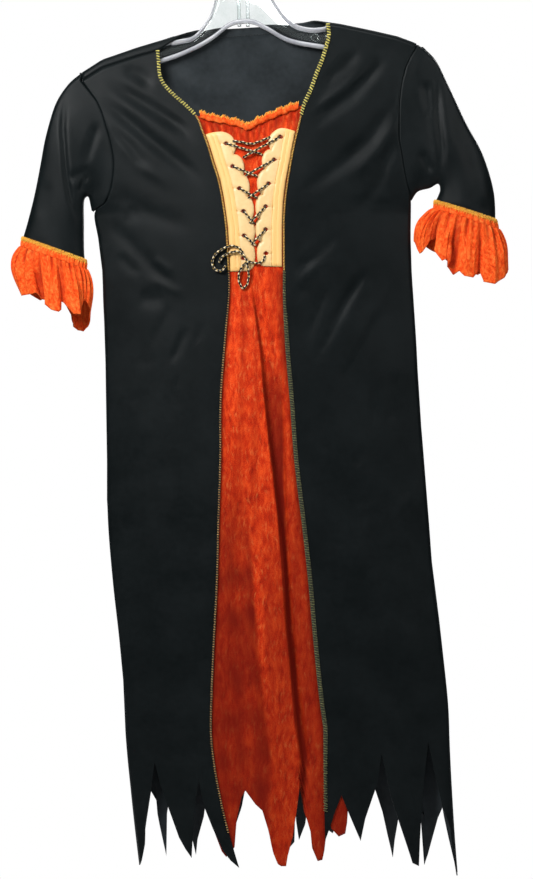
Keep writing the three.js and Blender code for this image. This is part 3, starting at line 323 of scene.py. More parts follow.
# Cuffs: outer x, z, inner x, z, half depth; then the ragged hem of each ruffle, before and behind
LEFT_CUFF = [
    (-223.2, -335.5, -157.8, -359.5, 15), (-226, -345, -156, -369, 16.5), (-233, -360, -154, -384, 19),
    (-232, -377, -153.5, -408, 21), (-225, -393, -155, -426, 22),
]
RIGHT_CUFF = [
    (273.2, -317.5, 209.8, -297, 15), (277, -327, 207, -305, 16.5), (286, -343, 197, -317, 19),
    (291, -359, 189.5, -332, 21), (280, -380, 192, -347, 22),
]
BAND_END, RUFFLE_START = 0.23, 0.243
LEFT_RUFFLE_FRONT = [           # place from the outer fold, x, z, how far it stands out
    (0, -225.8, -392.7, 0), (0.06, -220.7, -395.1, 3), (0.15, -211, -394, 4), (0.2, -207.5, -392.7, 1),
    (0.23, -204.8, -399, -4), (0.26, -201.6, -400.6, -4), (0.29, -200, -399, -3), (0.34, -197.5, -405.8, 3),
    (0.42, -191.6, -411.1, 5), (0.5, -184.3, -413.3, 4), (0.54, -181.8, -411.1, 2),
    (0.57, -181.5, -402.2, -3),
    (0.6, -179, -403.7, -2), (0.7, -169.6, -415.8, 4), (0.8, -164.3, -415.8, 4), (0.86, -161.9, -407.4, 1),
    (0.93, -157, -400.1, -1), (1, -152.2, -408.5, 0),
]
LEFT_RUFFLE_BACK = [
    (0, -225.8, -392.7, 0), (0.15, -217.9, -391.7, 3), (0.25, -206.3, -400.1, -2), (0.32, -200, -396.9, -3),
    (0.45, -189.5, -405.3, 4), (0.55, -182.2, -397.9, -3), (0.66, -172.2, -417.9, 1),
    (0.7, -172.2, -427.4, 2), (0.75, -168.5, -431, 3), (0.84, -162.2, -432.6, 3),
    (0.93, -154.5, -425.8, 1), (1, -152.2, -408.5, 0),
]
RIGHT_RUFFLE_FRONT = [
    (0, 286.1, -368.6, 0), (0.06, 278.8, -377.4, 3), (0.15, 268.9, -384, 5), (0.24, 258.1, -381.6, 3),
    (0.28, 256.7, -369.6, -3), (0.31, 254, -371.2, -2), (0.37, 248.1, -377.4, 3), (0.46, 238.9, -375.7, 4),
    (0.52, 233.6, -370.1, 0), (0.57, 227.3, -374.1, -3), (0.63, 221.6, -365.8, -3), (0.66, 224.2, -354.9, -1),
    (0.7, 221, -358.1, 2), (0.75, 216.6, -359.9, 3), (0.82, 208.4, -349.2, 1), (0.85, 209.5, -336, -4),
    (0.88, 203.2, -338.1, -2), (0.92, 197.9, -349.2, 2), (0.95, 193.7, -351.8, 2), (1, 188, -338.1, 0),
]
RIGHT_RUFFLE_BACK = [
    (0, 286.1, -368.6, 0), (0.1, 274.6, -372.8, 3), (0.2, 264.1, -368.6, -3), (0.3, 254.6, -372.8, 4),
    (0.4, 244.1, -368.6, -3), (0.5, 232.6, -365.4, 3), (0.6, 224.2, -359.1, -3), (0.7, 214.7, -350.7, 3),
    (0.78, 206.3, -347.6, -2), (0.85, 201.1, -343.4, 2), (0.92, 194.8, -344.4, 1), (1, 188, -338.1, 0),
]

# Lacing: where each stretch ends, past its crossing; and the routes of the two tied ends: x, z, lift
LEFT_STRETCH_ENDS = [(28.5, -248.6), (23, -271.5), (23, -294.5), (20.4, -321.5), (21.8, -344)]
RIGHT_STRETCH_ENDS = [(7.8, -252), (10.5, -271), (13.3, -294.5), (15, -320.5), (16.6, -343)]
LACE_TOP = [(-3.5, -234.5), (6, -235.5), (17, -237.5), (29, -233.5), (36.5, -229.8)]
RIGHT_END = [
    (31, -354, 1.7), (29, -360, 1.8), (22, -362.5, 2), (14, -361, 2.4), (8, -365, 2.4), (4, -373, 2.2),
    (4, -382, 2), (8, -388.5, 2), (12.5, -384, 2), (14, -375, 2.6), (13, -367, 4.6), (11.5, -359, 5.6),
    (6, -352, 5.2), (-1, -350.5, 4), (-8, -352.5, 3.6), (-14, -356.5, 3.6), (-17, -362, 3.6),
]
LEFT_END = [
    (8.6, -352.5, 1.7), (3, -346, 1.9), (-5, -344.5, 3.2), (-13, -347.5, 3.6), (-20.5, -353, 3.6),
    (-24, -361, 3.6), (-21.5, -368.5, 3.8), (-14.5, -370.5, 4.6), (-10, -365, 6),
]

# Hanger
HANGER_ARM = [                  # x, z of the lower flange
    (-158, -178.5), (-142, -172), (-111, -161), (-70, -149), (-44, -138.5), (-24, -127), (-8, -114.5),
    (3, -110.5), (18, -110.5), (33, -117.5), (56, -130), (89, -136.5), (131, -142), (167, -146.5),
    (186, -149),
]
NECK = [                        # x, z of the upper flange between the shoulders
    (-67, -127.5), (-58, -126), (-43, -121.5), (-28, -103), (-22, -86), (-15, -62), (-3, -47),
    (11, -47), (24, -61), (40, -85), (52, -102), (64, -110.5), (80, -114), (96, -112.5),
]
RIM_CLEARANCE = 2.2
HOOK_ROD, HOOK_INNER_RADIUS = 7.5, 19
WEB_HALF = 1.1
RIB_PLACES, RIB_RADIUS = (4.2, 13.0), 1.9
RING_CENTRE, RING_RADIUS, RING_WIRE = (83.5, -1.2, -124.5), 3.6, 0.7


# Tables and curves
def smooth(low, high, value):
    share = np.clip((value - low) / (high - low), 0.0, 1.0)
    return share * share * (3 - 2 * share)


def mix(a, b, share):
    return a + (b - a) * share


def read(table, key):
    """The columns after a table's first, at a key, by straight lines between its rows"""
    rows = np.asarray(table, float)
    if rows[0, 0] > rows[-1, 0]:
        rows = rows[::-1]
    return [np.interp(key, rows[:, 0], rows[:, column]) for column in range(1, rows.shape[1])]


def along(table, place):
    """A table's columns at places from 0 to 1, on a smooth curve through its rows"""
    rows = np.asarray(table, float)
    at = np.clip(np.asarray(place, float), 0, 1) * (len(rows) - 1)
    row = np.minimum(at.astype(int), len(rows) - 2)
    t = (at - row)[..., None]
    a, b, c, d = (rows[np.clip(row + step, 0, len(rows) - 1)] for step in (-1, 0, 1, 2))
    return b + 0.5 * t * (c - a + t * (2 * a - 5 * b + 4 * c - d + t * (3 * (b - c) + d - a)))


def run_of(points):
    """How far along a line of points each of them lies"""
    return np.concatenate([[0], np.cumsum(np.linalg.norm(np.diff(points, axis=0), axis=1))])


def even_line(points, step):
    """The same line, with its points a step apart"""
    run = run_of(points)
    at = np.linspace(0, run[-1], max(2, round(run[-1] / step) + 1))
    return np.stack([np.interp(at, run, points[:, axis]) for axis in range(points.shape[1])], axis=1)


def smooth_line(points, step):
    """An even line on a smooth curve through a few points"""
    return even_line(along(points, np.linspace(0, 1, 40 * len(points))), step)


# The hung cloth's form
def ridge(x):
    return read(SHOULDER_RIDGE, x)[0]


def half_depth(x, z):
    """Half the garment's depth: it rounds over the hanger's rim, and closes at the side seams"""
    under = np.maximum(ridge(x) - z, 0)
    turn = np.sqrt(FOLD_RADIUS**2 - (FOLD_RADIUS - np.minimum(under, FOLD_RADIUS)) ** 2)
    over_rim = np.where(under < FOLD_RADIUS, turn, FOLD_RADIUS + DEPTH_SLOPE * (under - FOLD_RADIUS))
    left, right = read(SIDES, z)
    across = np.clip((2 * x - left - right) / (right - left), -1, 1)
    lens = CLOTH + SEAM_GAP / 2 + 0.03 + read(HALF_DEPTH, z)[0] * (1 - across * across) ** 0.75
    return -np.logaddexp(-over_rim, -lens)


def crease_depth(creases, x, z):
    """How deep the creases press the cloth in: each is full along its middle, with raised sides"""
    total = np.zeros(np.broadcast(x, z).shape)
    for half_width, depth, points in creases:
        corners = np.array(points, float)
        run = run_of(corners)
        nearest = np.full(total.shape, 1e9)
        place = np.zeros(total.shape)
        for start, end, before in zip(corners[:-1], corners[1:], run):
            step = end - start
            length = np.hypot(*step)
            share = np.clip(((x - start[0]) * step[0] + (z - start[1]) * step[1]) / length**2, 0, 1)
            away = np.hypot(x - start[0] - share * step[0], z - start[1] - share * step[1])
            place = np.where(away < nearest, before + share * length, place)
            nearest = np.minimum(nearest, away)
        reached = place / run[-1]
        taper = smooth(0, CREASE_START, reached) * smooth(1, CREASE_END, reached)
        aside = (nearest / half_width) ** 2
        total += depth * taper * ((1 + RAISED_SIDES) * np.exp(-aside) - RAISED_SIDES * np.exp(-aside / 4))
    return total


def unevenness(x, z, seed, wavelength=60.0):
    """Soft uneven swells, from about -1 to 1, of cloth that nothing holds flat"""
    draws = np.random.default_rng(seed)
    total = 0.0
    for _ in range(6):
        angle, phase = draws.uniform(0, 2 * np.pi), draws.uniform(0, 2 * np.pi)
        stretch = draws.uniform(0.6, 1.5)
        wave = 2 * np.pi / (wavelength * stretch)
        total = total + np.sin(wave * (x * np.cos(angle) + 0.5 * z * np.sin(angle)) + phase)
    return total / 3


# Meshes
def make_piece(name, points, faces, finish, corner_uv=None, inner_finish=None, inner_faces=None, rim=None):
    mesh = bpy.data.meshes.new(name)
    mesh.from_pydata((np.asarray(points) * MM).tolist(), [], [list(map(int, face)) for face in faces])
    if corner_uv is not None:
        layer = mesh.uv_layers.new(name="cloth")
        layer.data.foreach_set("uv", (np.asarray(corner_uv, np.float32) * MM).ravel())
    mesh.polygons.foreach_set("use_smooth", np.ones(len(faces), bool) if rim is None else ~rim)
    mesh.materials.append(finish)
    if inner_finish is not None:
        mesh.materials.append(inner_finish)
        mesh.polygons.foreach_set("material_index", np.asarray(inner_faces, np.int32))
    mesh.update()
    piece = bpy.data.objects.new(name, mesh)
    bpy.context.scene.collection.objects.link(piece)
    return piece


def mark_points(piece, name, values):
    piece.data.attributes.new(name, "FLOAT", "POINT").data.foreach_set("value", np.asarray(values, float))


def volume_sign(points, faces):
    corners = [points[faces[:, index]] for index in range(faces.shape[1])]
    total = 0.0
    for second in range(1, faces.shape[1] - 1):
        total += np.einsum("ij,ij->", corners[0], np.cross(corners[second], corners[second + 1]))
    return 1 if total > 0 else -1


def rings_along(line, reach, sides):
    """A ring of points round each point of a line, each of them as far out as reach says"""
    tangents = np.gradient(line, axis=0)
    tangents /= np.linalg.norm(tangents, axis=1, keepdims=True)
    aside = np.array([0, 1.0, 0])
    turns = 2 * np.pi * np.arange(sides) / sides
    rings = []
    for point, tangent, out in zip(line, tangents, np.broadcast_to(reach, (len(line), sides))):
        aside = aside - tangent * (aside @ tangent)
        aside /= np.linalg.norm(aside)
        across = np.cross(tangent, aside)
        spokes = np.cos(turns)[:, None] * aside + np.sin(turns)[:, None] * across
        rings.append(point + out[:, None] * spokes)
    return np.array(rings)


def solid_of_rings(rings, looped=False):
    """Points and faces of a closed solid, with the row and column of each face's corners"""
    rows, count = rings.shape[:2]
    places = [[(row, side), (row, side + 1), (row + 1, side + 1), (row + 1, side)]
              for row in range(rows if looped else rows - 1) for side in range(count)]
    faces = [[row % rows * count + side % count for row, side in corners] for corners in places]
    points = rings.reshape(-1, 3)
    inside_out = volume_sign(points, np.array(faces)) < 0
    if not looped:
        faces += [list(range(count))[::-1], list(range((rows - 1) * count, rows * count))]
        places += [[(0, 0)] * count, [(rows - 1, 0)] * count]
    if inside_out:
        faces, places = ([item[::-1] for item in items] for items in (faces, places))
    return points, faces, places


def join_solids(solids):
    faces, first = [], 0
    for points, part_faces, _ in solids:
        faces += [[index + first for index in face] for face in part_faces]
        first += len(points)
    return np.concatenate([points for points, *_ in solids]), faces


def grid_normals(points, outward, closed):
    """Outward directions of a grid: outward is "front", "back" or "round", away from each row's middle"""
    down = np.gradient(points, axis=0)
    if closed:
        across = np.roll(points, -1, 1) - np.roll(points, 1, 1)
    else:
        across = np.gradient(points, axis=1)
    normal = np.cross(across, down)
    normal /= np.maximum(np.linalg.norm(normal, axis=2, keepdims=True), 1e-9)
    if outward == "round":
        toward = points - points.mean(axis=1, keepdims=True)
    else:
        toward = np.array([0, -1.0 if outward == "front" else 1.0, 0])
    return normal * np.sign((normal * toward).sum(axis=2).mean())


def grid_uv(points, closed):
    """Where each point lies on the cloth: as it hangs, or by distances round and down a tube"""
    if not closed:
        hanging = points[:, :, [0, 2]]
        return np.concatenate([hanging, hanging[:, -1:]], axis=1)
    wrapped = np.concatenate([points, points[:, :1]], axis=1)
    around = np.linalg.norm(np.diff(wrapped, axis=1), axis=2).mean(axis=0)
    u = np.concatenate([[0], np.cumsum(around)])
    v = -run_of(points[:, points.shape[1] // 4])
    return np.stack(np.meshgrid(u, v), axis=2)


def wall(name, outer, inner, finish, closed=False, inner_finish=None):
    """A closed wall between a grid of outer points and a matching grid of inner points"""
    rows, columns = outer.shape[:2]
    spans = columns if closed else columns - 1
    row, column = (part.ravel() for part in np.meshgrid(np.arange(rows - 1), np.arange(spans), indexing="ij"))
    top, side = np.arange(spans), np.arange(rows - 1)
    outside, inside = 0, rows * columns
    faces, places = [], []

    def add(*corners):
        faces.append(np.stack([part + r * columns + np.mod(c, columns) for part, r, c in corners], axis=1))
        places.append(np.stack([r * (columns + 1) + c for _, r, c in corners], axis=1))

    add((outside, row, column), (outside, row + 1, column), (outside, row + 1, column + 1),
        (outside, row, column + 1))
    add((inside, row, column), (inside, row, column + 1), (inside, row + 1, column + 1),
        (inside, row + 1, column))
    for r, a, b in ((0, outside, inside), (rows - 1, inside, outside)):
        add((a, r, top), (a, r, top + 1), (b, r, top + 1), (b, r, top))
    if not closed:
        for c, a, b in ((0, inside, outside), (columns - 1, outside, inside)):
            add((a, side, c), (a, side + 1, c), (b, side + 1, c), (b, side, c))
    points = np.concatenate([outer.reshape(-1, 3), inner.reshape(-1, 3)])
    faces, places = np.concatenate(faces), np.concatenate(places)
    if volume_sign(points, faces) < 0:
        faces, places = faces[:, ::-1], places[:, ::-1]
    uv = grid_uv(outer, closed).reshape(-1, 2)[places]
    within = (faces >= rows * columns).all(axis=1)
    rim = ~within & (faces >= rows * columns).any(axis=1)
    return make_piece(name, points, faces, finish, uv, inner_finish, within, rim)


def cloth(name, points, finish, outward, thickness=CLOTH, closed=False):
    normals = grid_normals(points, outward, closed)
    return wall(name, points, points - normals * thickness, finish, closed)


def columns_for(hem, count):
    """Places across a panel: an even spread, and every point of its hem"""
    keys = np.array([row[0] for row in hem])
    even = np.linspace(0, 1, count + 1)
    clear = np.abs(even[:, None] - keys[None]).min(axis=1) > CLEAR_OF_KEYS / count
    return np.sort(np.concatenate([keys, even[clear]]))


def down_to_hem(x, z, hem, columns, swing):
    """Rows from a panel's last row down to its pointed hem"""
    hem_x, hem_z = read(hem, columns)
    down = np.linspace(0, 1, HEM_ROWS + 1)[1:, None]
    return (np.concatenate([x, mix(x[-1:], hem_x, down ** swing)]),
            np.concatenate([z, mix(z[-1:], hem_z, down)]))


# Shader node groups, each built once
def put(tree, kind, inputs=None, **settings):
    made = tree.nodes.new(kind)
    for name, value in settings.items():
        setattr(made, name, value)
    for name, value in (inputs or {}).items():
        if isinstance(value, bpy.types.NodeSocket):
            tree.links.new(value, made.inputs[name])
        else:
            made.inputs[name].default_value = value
    return made


def maths(tree, operation, first, second=0.0):
    return put(tree, "ShaderNodeMath", {0: first, 1: second}, operation=operation).outputs[0]


def vectors(tree, operation, first, second):
    return put(tree, "ShaderNodeVectorMath", {0: first, 1: second}, operation=operation).outputs[0]


def blend_colours(tree, factor, first, second):
    return put(tree, "ShaderNodeMix", {0: factor, 6: first, 7: second}, data_type="RGBA").outputs[2]


def spread(tree, value, low, high, to_low=0.0, to_high=1.0):
    return put(tree, "ShaderNodeMapRange", {"Value": value, "From Min": low, "From Max": high,
                                           "To Min": to_low, "To Max": to_high}).outputs[0]


def noise(tree, place, scale, detail=2.0, roughness=0.5):
    return put(tree, "ShaderNodeTexNoise", {"Vector": place, "Scale": scale, "Detail": detail,
                                           "Roughness": roughness}).outputs


KINDS = {"value": "NodeSocketFloat", "colour": "NodeSocketColor", "vector": "NodeSocketVector"}


def group(name, inputs, outputs, build):
    tree = bpy.data.node_groups.new(name, "ShaderNodeTree")
    for label, kind in inputs:
        tree.interface.new_socket(name=label, in_out="INPUT", socket_type=KINDS[kind])
    for label, kind in outputs:
        tree.interface.new_socket(name=label, in_out="OUTPUT", socket_type=KINDS[kind])
    put(tree, "NodeGroupOutput", build(tree, tree.nodes.new("NodeGroupInput").outputs))
    return tree


def build_knit_loops(tree, given):
    """Chains of small v-shaped loops: wales run down the cloth"""
    parts = put(tree, "ShaderNodeSeparateXYZ", {0: given["Vector"]}).outputs
    wale = maths(tree, "FRACT", maths(tree, "DIVIDE", parts[0], given["Loop width"]))
    aside = maths(tree, "MULTIPLY", maths(tree, "ABSOLUTE", maths(tree, "SUBTRACT", wale, 0.5)), 2.0)
    course = maths(tree, "ADD", maths(tree, "DIVIDE", parts[1], given["Loop height"]),
                   maths(tree, "MULTIPLY", aside, 0.6))
    loop = maths(tree, "ABSOLUTE", maths(tree, "SUBTRACT", maths(tree, "FRACT", course), 0.5))
    height = maths(tree, "MULTIPLY", maths(tree, "MULTIPLY", loop, 2.0),
                   maths(tree, "SUBTRACT", 1.2, maths(tree, "MULTIPLY", aside, aside)))
    return {"Height": height}


def build_mottle(tree, given):
    """Uneven dye and light wear, from a broad and a fine noise"""
    scale = maths(tree, "DIVIDE", 1.0, given["Patch size"])
    broad = noise(tree, given["Vector"], scale, 4.0, 0.6)["Fac"]
    fine = noise(tree, given["Vector"], maths(tree, "MULTIPLY", scale, 9.0))["Fac"]
    mask = spread(tree, maths(tree, "ADD", maths(tree, "MULTIPLY", broad, 0.75),
                              maths(tree, "MULTIPLY", fine, 0.25)), 0.36, 0.64)
    return {"Mask": mask, "Color": blend_colours(tree, mask, given["Dark"], given["Light"])}


def build_crushed_nap(tree, given):
    """Pile pressed this way and that: patches that turn the light, streaks, and fine pile; painted glints
    (highlights) are mixed into the colour
    """
    scale = maths(tree, "DIVIDE", 1.0, given["Patch size"])
    finer, streaky, fibrous, downy = (maths(tree, "MULTIPLY", scale, times)
                                      for times in (1.3, 3.4, 6.5, 14.0))
    warp = noise(tree, given["Vector"], scale, 3.0)
    moved = vectors(tree, "ADD", given["Vector"], vectors(tree, "MULTIPLY", warp["Color"], given["Warp"]))
    patches = put(tree, "ShaderNodeTexVoronoi", {"Vector": moved, "Scale": finer, "Smoothness": 0.6},
                  feature="SMOOTH_F1").outputs["Distance"]
    drawn = vectors(tree, "MULTIPLY", moved, given["Drawn"])
    streaks = noise(tree, drawn, streaky, 5.0, 0.6)["Fac"]
    pile = noise(tree, given["Vector"], downy)["Fac"]
    strokes = maths(tree, "ADD", maths(tree, "MULTIPLY", streaks, 0.75), maths(tree, "MULTIPLY", pile, 0.35))
    lean = maths(tree, "ADD", maths(tree, "MULTIPLY", patches, 0.16), strokes)
    mask = spread(tree, lean, 0.36, 0.86)
    low = blend_colours(tree, spread(tree, mask, 0.0, 0.45), given["Dark"], given["Middle"])
    colour = blend_colours(tree, spread(tree, mask, 0.45, 1.0), low, given["Light"])
    fibres = noise(tree, drawn, fibrous)["Fac"]
    # painted highlight: orange glints of the pile, clustered by a broad noise, mixed into the colour
    clustered = spread(tree, warp["Fac"], 0.42, 0.62, 0.08, 0.42)
    glints = maths(tree, "MULTIPLY", spread(tree, fibres, 0.52, 0.70), clustered)
    colour = blend_colours(tree, glints, colour, given["Glint"])
    return {"Color": colour, "Mask": mask, "Height": lean}


def build_thread_twist(tree, given):
    """Two plies wound round each other, as slanting bands across a thread"""
    parts = put(tree, "ShaderNodeSeparateXYZ", {0: given["Vector"]}).outputs
    slant = maths(tree, "ADD", maths(tree, "ADD", parts[0], parts[2]), maths(tree, "MULTIPLY", parts[1], 0.7))
    turns = maths(tree, "DIVIDE", slant, given["Ply width"])
    wave = maths(tree, "SINE", maths(tree, "MULTIPLY", turns, FULL_TURN))
    return {"Height": spread(tree, wave, -1.0, 1.0)}


KNIT_LOOPS = group("knit_loops", [("Vector", "vector"), ("Loop width", "value"), ("Loop height", "value")],
                   [("Height", "value")], build_knit_loops)
MOTTLE = group("mottle", [("Vector", "vector"), ("Patch size", "value"), ("Dark", "colour"),
                          ("Light", "colour")], [("Mask", "value"), ("Color", "colour")], build_mottle)
CRUSHED_NAP = group("crushed_nap", [("Vector", "vector"), ("Patch size", "value"), ("Warp", "vector"),
                                    ("Drawn", "vector"), ("Dark", "colour"), ("Middle", "colour"),
                                    ("Light", "colour"), ("Glint", "colour")],
                    [("Color", "colour"), ("Mask", "value"), ("Height", "value")], build_crushed_nap)
THREAD_TWIST = group("thread_twist", [("Vector", "vector"), ("Ply width", "value")],
                     [("Height", "value")], build_thread_twist)


# Materials
def use(tree, shared, inputs):
    return put(tree, "ShaderNodeGroup", inputs, node_tree=shared).outputs


def dyed(tree, place, patch, dark, light):
    return use(tree, MOTTLE, {"Vector": place, "Patch size": patch, "Dark": (*dark, 1), "Light": (*light, 1)})


def marked(tree, name):
    return put(tree, "ShaderNodeAttribute", attribute_name=name).outputs["Fac"]


def cloth_place(tree):
    return put(tree, "ShaderNodeUVMap", uv_map="cloth").outputs[0]


def object_place(tree):
    return put(tree, "ShaderNodeTexCoord").outputs["Object"]


def new_material(name, preview, **constants):
    made = bpy.data.materials.new(name)
    made.use_nodes = True
    made.diffuse_color = preview
    shader = made.node_tree.nodes["Principled BSDF"]
    for socket, value in constants.items():
        shader.inputs[socket.replace("_", " ")].default_value = value
    return made, made.node_tree, shader


def cover(tree, shader, colour, mask, rough_dark, rough_light):
    """Colour, and the gloss that goes with it, over the surface"""
    tree.links.new(colour, shader.inputs["Base Color"])
    tree.links.new(spread(tree, mask, 0.0, 1.0, rough_dark, rough_light), shader.inputs["Roughness"])


def bump(tree, shader, height, distance, strength):
    normal = put(tree, "ShaderNodeBump", {"Height": height, "Distance": distance, "Strength": strength})
    tree.links.new(normal.outputs[0], shader.inputs["Normal"])


def knit_material(name, dark, light):
    made, tree, shader = new_material(name, (*light, 1), Sheen_Weight=0.02, Sheen_Roughness=0.4,
                                      Sheen_Tint=(0.55, 0.68, 0.72, 1), Specular_IOR_Level=0.10)
    place = cloth_place(tree)
    dye = dyed(tree, place, 0.05, dark, light)
    loops = use(tree, KNIT_LOOPS, {"Vector": place, "Loop width": 0.00085, "Loop height": 0.0007})
    cover(tree, shader, dye["Color"], dye["Mask"], 0.36, 0.44)
    bump(tree, shader, loops["Height"], 0.00008, 0.5)
    return made


def velvet_material(name, dark, middle, light, sheen, patch, depth, drawn):
    """Crushed pile, mixed towards its dark colour where an attribute holds painted shade and some random tone
    """
    made, tree, shader = new_material(name, (*middle, 1), Sheen_Weight=sheen, Sheen_Roughness=0.35,
                                      Sheen_Tint=(1.0, 0.20, 0.06, 1), Specular_IOR_Level=0.06)
    # the Glint colour is a painted highlight mixed into the pile's colour
    nap = use(tree, CRUSHED_NAP, {"Vector": cloth_place(tree), "Patch size": patch,
                                  "Warp": (0.007, 0.009, 0.0), "Drawn": (1.0, drawn, 1.0),
                                  "Dark": (*dark, 1), "Middle": (*middle, 1), "Light": (*light, 1),
                                  "Glint": (1.0, 0.27, 0.07, 1)})
    # painted shade: the colour mixed towards dark where the attribute says
    colour = blend_colours(tree, marked(tree, "painted_shade_and_tone"), nap["Color"], (*dark, 1))
    cover(tree, shader, colour, nap["Mask"], 0.8, 0.55)
    bump(tree, shader, nap["Height"], depth, 0.8)
    return made


def satin_material():
    made, tree, shader = new_material("cream_satin", (0.9, 0.68, 0.33, 1), Sheen_Weight=0.15,
                                      Sheen_Roughness=0.3, Specular_IOR_Level=0.5)
    place = cloth_place(tree)
    dye = dyed(tree, place, 0.03, (0.75, 0.49, 0.21), (0.84, 0.60, 0.29))
    colour = blend_colours(tree, marked(tree, "outer_band"), dye["Color"], (0.86, 0.52, 0.18, 1))
    weave = use(tree, KNIT_LOOPS, {"Vector": place, "Loop width": 0.0006, "Loop height": 0.0009})
    cover(tree, shader, colour, dye["Mask"], 0.42, 0.34)
    bump(tree, shader, weave["Height"], 0.00005, 0.4)
    return made


def thread_material(name, dark, light, metal, rough):
    made, tree, shader = new_material(name, (*light, 1), Sheen_Weight=0.1)
    place = object_place(tree)
    dye = dyed(tree, place, 0.0035, dark, light)
    twist = use(tree, THREAD_TWIST, {"Vector": place, "Ply width": 0.0009})
    cover(tree, shader, dye["Color"], dye["Mask"], rough + 0.15, rough)
    tree.links.new(spread(tree, dye["Mask"], 0.0, 1.0, 0.2 * metal, metal), shader.inputs["Metallic"])
    bump(tree, shader, twist["Height"], 0.00025, 0.8)
    return made


def braid_material():
    """Black, white and gold strands that spiral both ways round the cord"""
    made, tree, shader = new_material("braided_cord", (0.05, 0.045, 0.03, 1), Sheen_Weight=0.1,
                                      Specular_IOR_Level=0.2)
    place = cloth_place(tree)
    parts = put(tree, "ShaderNodeSeparateXYZ", {0: place}).outputs
    round_turns = maths(tree, "DIVIDE", parts[0], BRAID_ROUND / 2)
    run = maths(tree, "DIVIDE", parts[1], BRAID_PITCH)
    one_way = maths(tree, "FRACT", maths(tree, "ADD", round_turns, run))
    other_way = maths(tree, "FRACT", maths(tree, "SUBTRACT", round_turns, run))
    white = maths(tree, "MULTIPLY", maths(tree, "LESS_THAN", one_way, 0.42),
                  maths(tree, "LESS_THAN", other_way, 0.45))
    gold = maths(tree, "MULTIPLY", maths(tree, "GREATER_THAN", other_way, 0.68),
                 maths(tree, "GREATER_THAN", one_way, 0.68))
    fleck = dyed(tree, place, 0.004, (0.72, 0.56, 0.30), (1.0, 0.88, 0.64))
    colour = blend_colours(tree, white, (0.008, 0.007, 0.006, 1), fleck["Color"])
    colour = blend_colours(tree, gold, colour, (0.50, 0.32, 0.06, 1))
    cover(tree, shader, colour, fleck["Mask"], 0.6, 0.45)
    ridges = (maths(tree, "ABSOLUTE", maths(tree, "SUBTRACT", way, 0.5)) for way in (one_way, other_way))
    bump(tree, shader, maths(tree, "MAXIMUM", *ridges), 0.0004, 0.7)
    return made


def plastic_material(name, clear, dark, light, rough, rim=False):
    """Clear moulded plastic, with faint flow lines and fine scratches; the rim version is less clear and
    pale, its colour painted highlight lines from an attribute on a dark ground
    """
    made, tree, shader = new_material(name, (0.85, 0.9, 0.92, 0.4), Transmission_Weight=clear, IOR=1.49,
                                      Metallic=0.0, Specular_IOR_Level=0.9)
    place = object_place(tree)
    wear_and_painted_highlight = dyed(tree, place, 0.02, dark, light)
    colour = wear_and_painted_highlight["Color"]
    # painted highlight: bright lines where the attribute says, the dark colour between them
    if rim:
        colour = blend_colours(tree, marked(tree, "painted_highlight_line"), (*dark, 1), colour)
    cover(tree, shader, colour, wear_and_painted_highlight["Mask"], rough, rough + 0.08)
    bump(tree, shader, noise(tree, place, 60.0)["Fac"], 0.0004, 0.3)
    return made


def stage_material():
    made, tree, shader = new_material("pale_floor", (0.9, 0.9, 0.9, 1))
    dye = dyed(tree, object_place(tree), 0.4, (0.84, 0.84, 0.84), (0.88, 0.88, 0.88))
    cover(tree, shader, dye["Color"], dye["Mask"], 0.8, 0.9)
    return made


BLACK_KNIT = knit_material("black_shiny_knit", (0.0030, 0.0048, 0.0052), (0.0056, 0.0080, 0.0087))
KNIT_WRONG_SIDE = knit_material("knit_wrong_side", (0.016, 0.020, 0.022), (0.028, 0.034, 0.038))
CRUSHED_VELVET = velvet_material("crushed_velvet", (0.15, 0.006, 0.002), (0.56, 0.028, 0.004),
                                 (0.95, 0.10, 0.015), 0.18, 0.015, 0.0012, 0.28)
RUFFLE_VELVET = velvet_material("ruffle_velvet", (0.36, 0.016, 0.004), (0.88, 0.075, 0.008),
                                (1.0, 0.25, 0.05), 0.25, 0.010, 0.0016, 0.7)
CREAM_SATIN = satin_material()
GOLD_SERGING = thread_material("gold_serging", (0.30, 0.27, 0.045), (0.98, 0.86, 0.20), 0.2, 0.35)
ORANGE_SERGING = thread_material("orange_serging", (0.72, 0.30, 0.04), (1.0, 0.62, 0.12), 0.0, 0.5)
BRONZE_SERGING = thread_material("bronze_serging", (0.34, 0.15, 0.03), (0.96, 0.55, 0.17), 0.2, 0.4)
GREEN_GOLD_SERGING = thread_material("green_gold_serging", (0.05, 0.065, 0.02), (0.30, 0.31, 0.10), 0.2, 0.4)
EDGE_TAPE = thread_material("dark_edge_tape", (0.008, 0.009, 0.005), (0.035, 0.033, 0.012), 0.1, 0.5)
YELLOW_SERGING = thread_material("yellow_serging", (0.92, 0.30, 0.02), (1.0, 0.62, 0.06), 0.0, 0.6)
CREAM_THREAD = thread_material("cream_thread", (0.80, 0.40, 0.09), (0.92, 0.58, 0.20), 0.0, 0.5)
MAROON_THREAD = thread_material("maroon_thread", (0.16, 0.018, 0.008), (0.40, 0.06, 0.02), 0.0, 0.6)
BLACK_THREAD = thread_material("black_thread", (0.004, 0.005, 0.005), (0.012, 0.014, 0.015), 0.0, 0.5)
BRAID = braid_material()
CLEAR_PLASTIC = plastic_material("clear_moulded_plastic", 1.0, (0.78, 0.84, 0.83), (0.90, 0.94, 0.94), 0.05)
# The flange rims: mostly opaque, their colour painted highlight lines on a dark ground
PLASTIC_RIM_PAINTED_HIGHLIGHTS = plastic_material("plastic_rim_painted_highlights", 0.3, (0.38, 0.39, 0.43), (1.0, 1.0, 1.0), 0.12, True)


# Sewing: one tree of geometry nodes lays a stitch at every step of a seam
STITCH_INPUTS = [("Seam", "NodeSocketGeometry"), ("Spacing", "NodeSocketFloat"),
                 ("Length", "NodeSocketFloat"), ("Thread radius", "NodeSocketFloat"),
                 ("Rise", "NodeSocketFloat"), ("Lean", "NodeSocketFloat"), ("Jitter", "NodeSocketFloat"),
                 ("Seed", "NodeSocketInt"), ("Thread", "NodeSocketMaterial")]


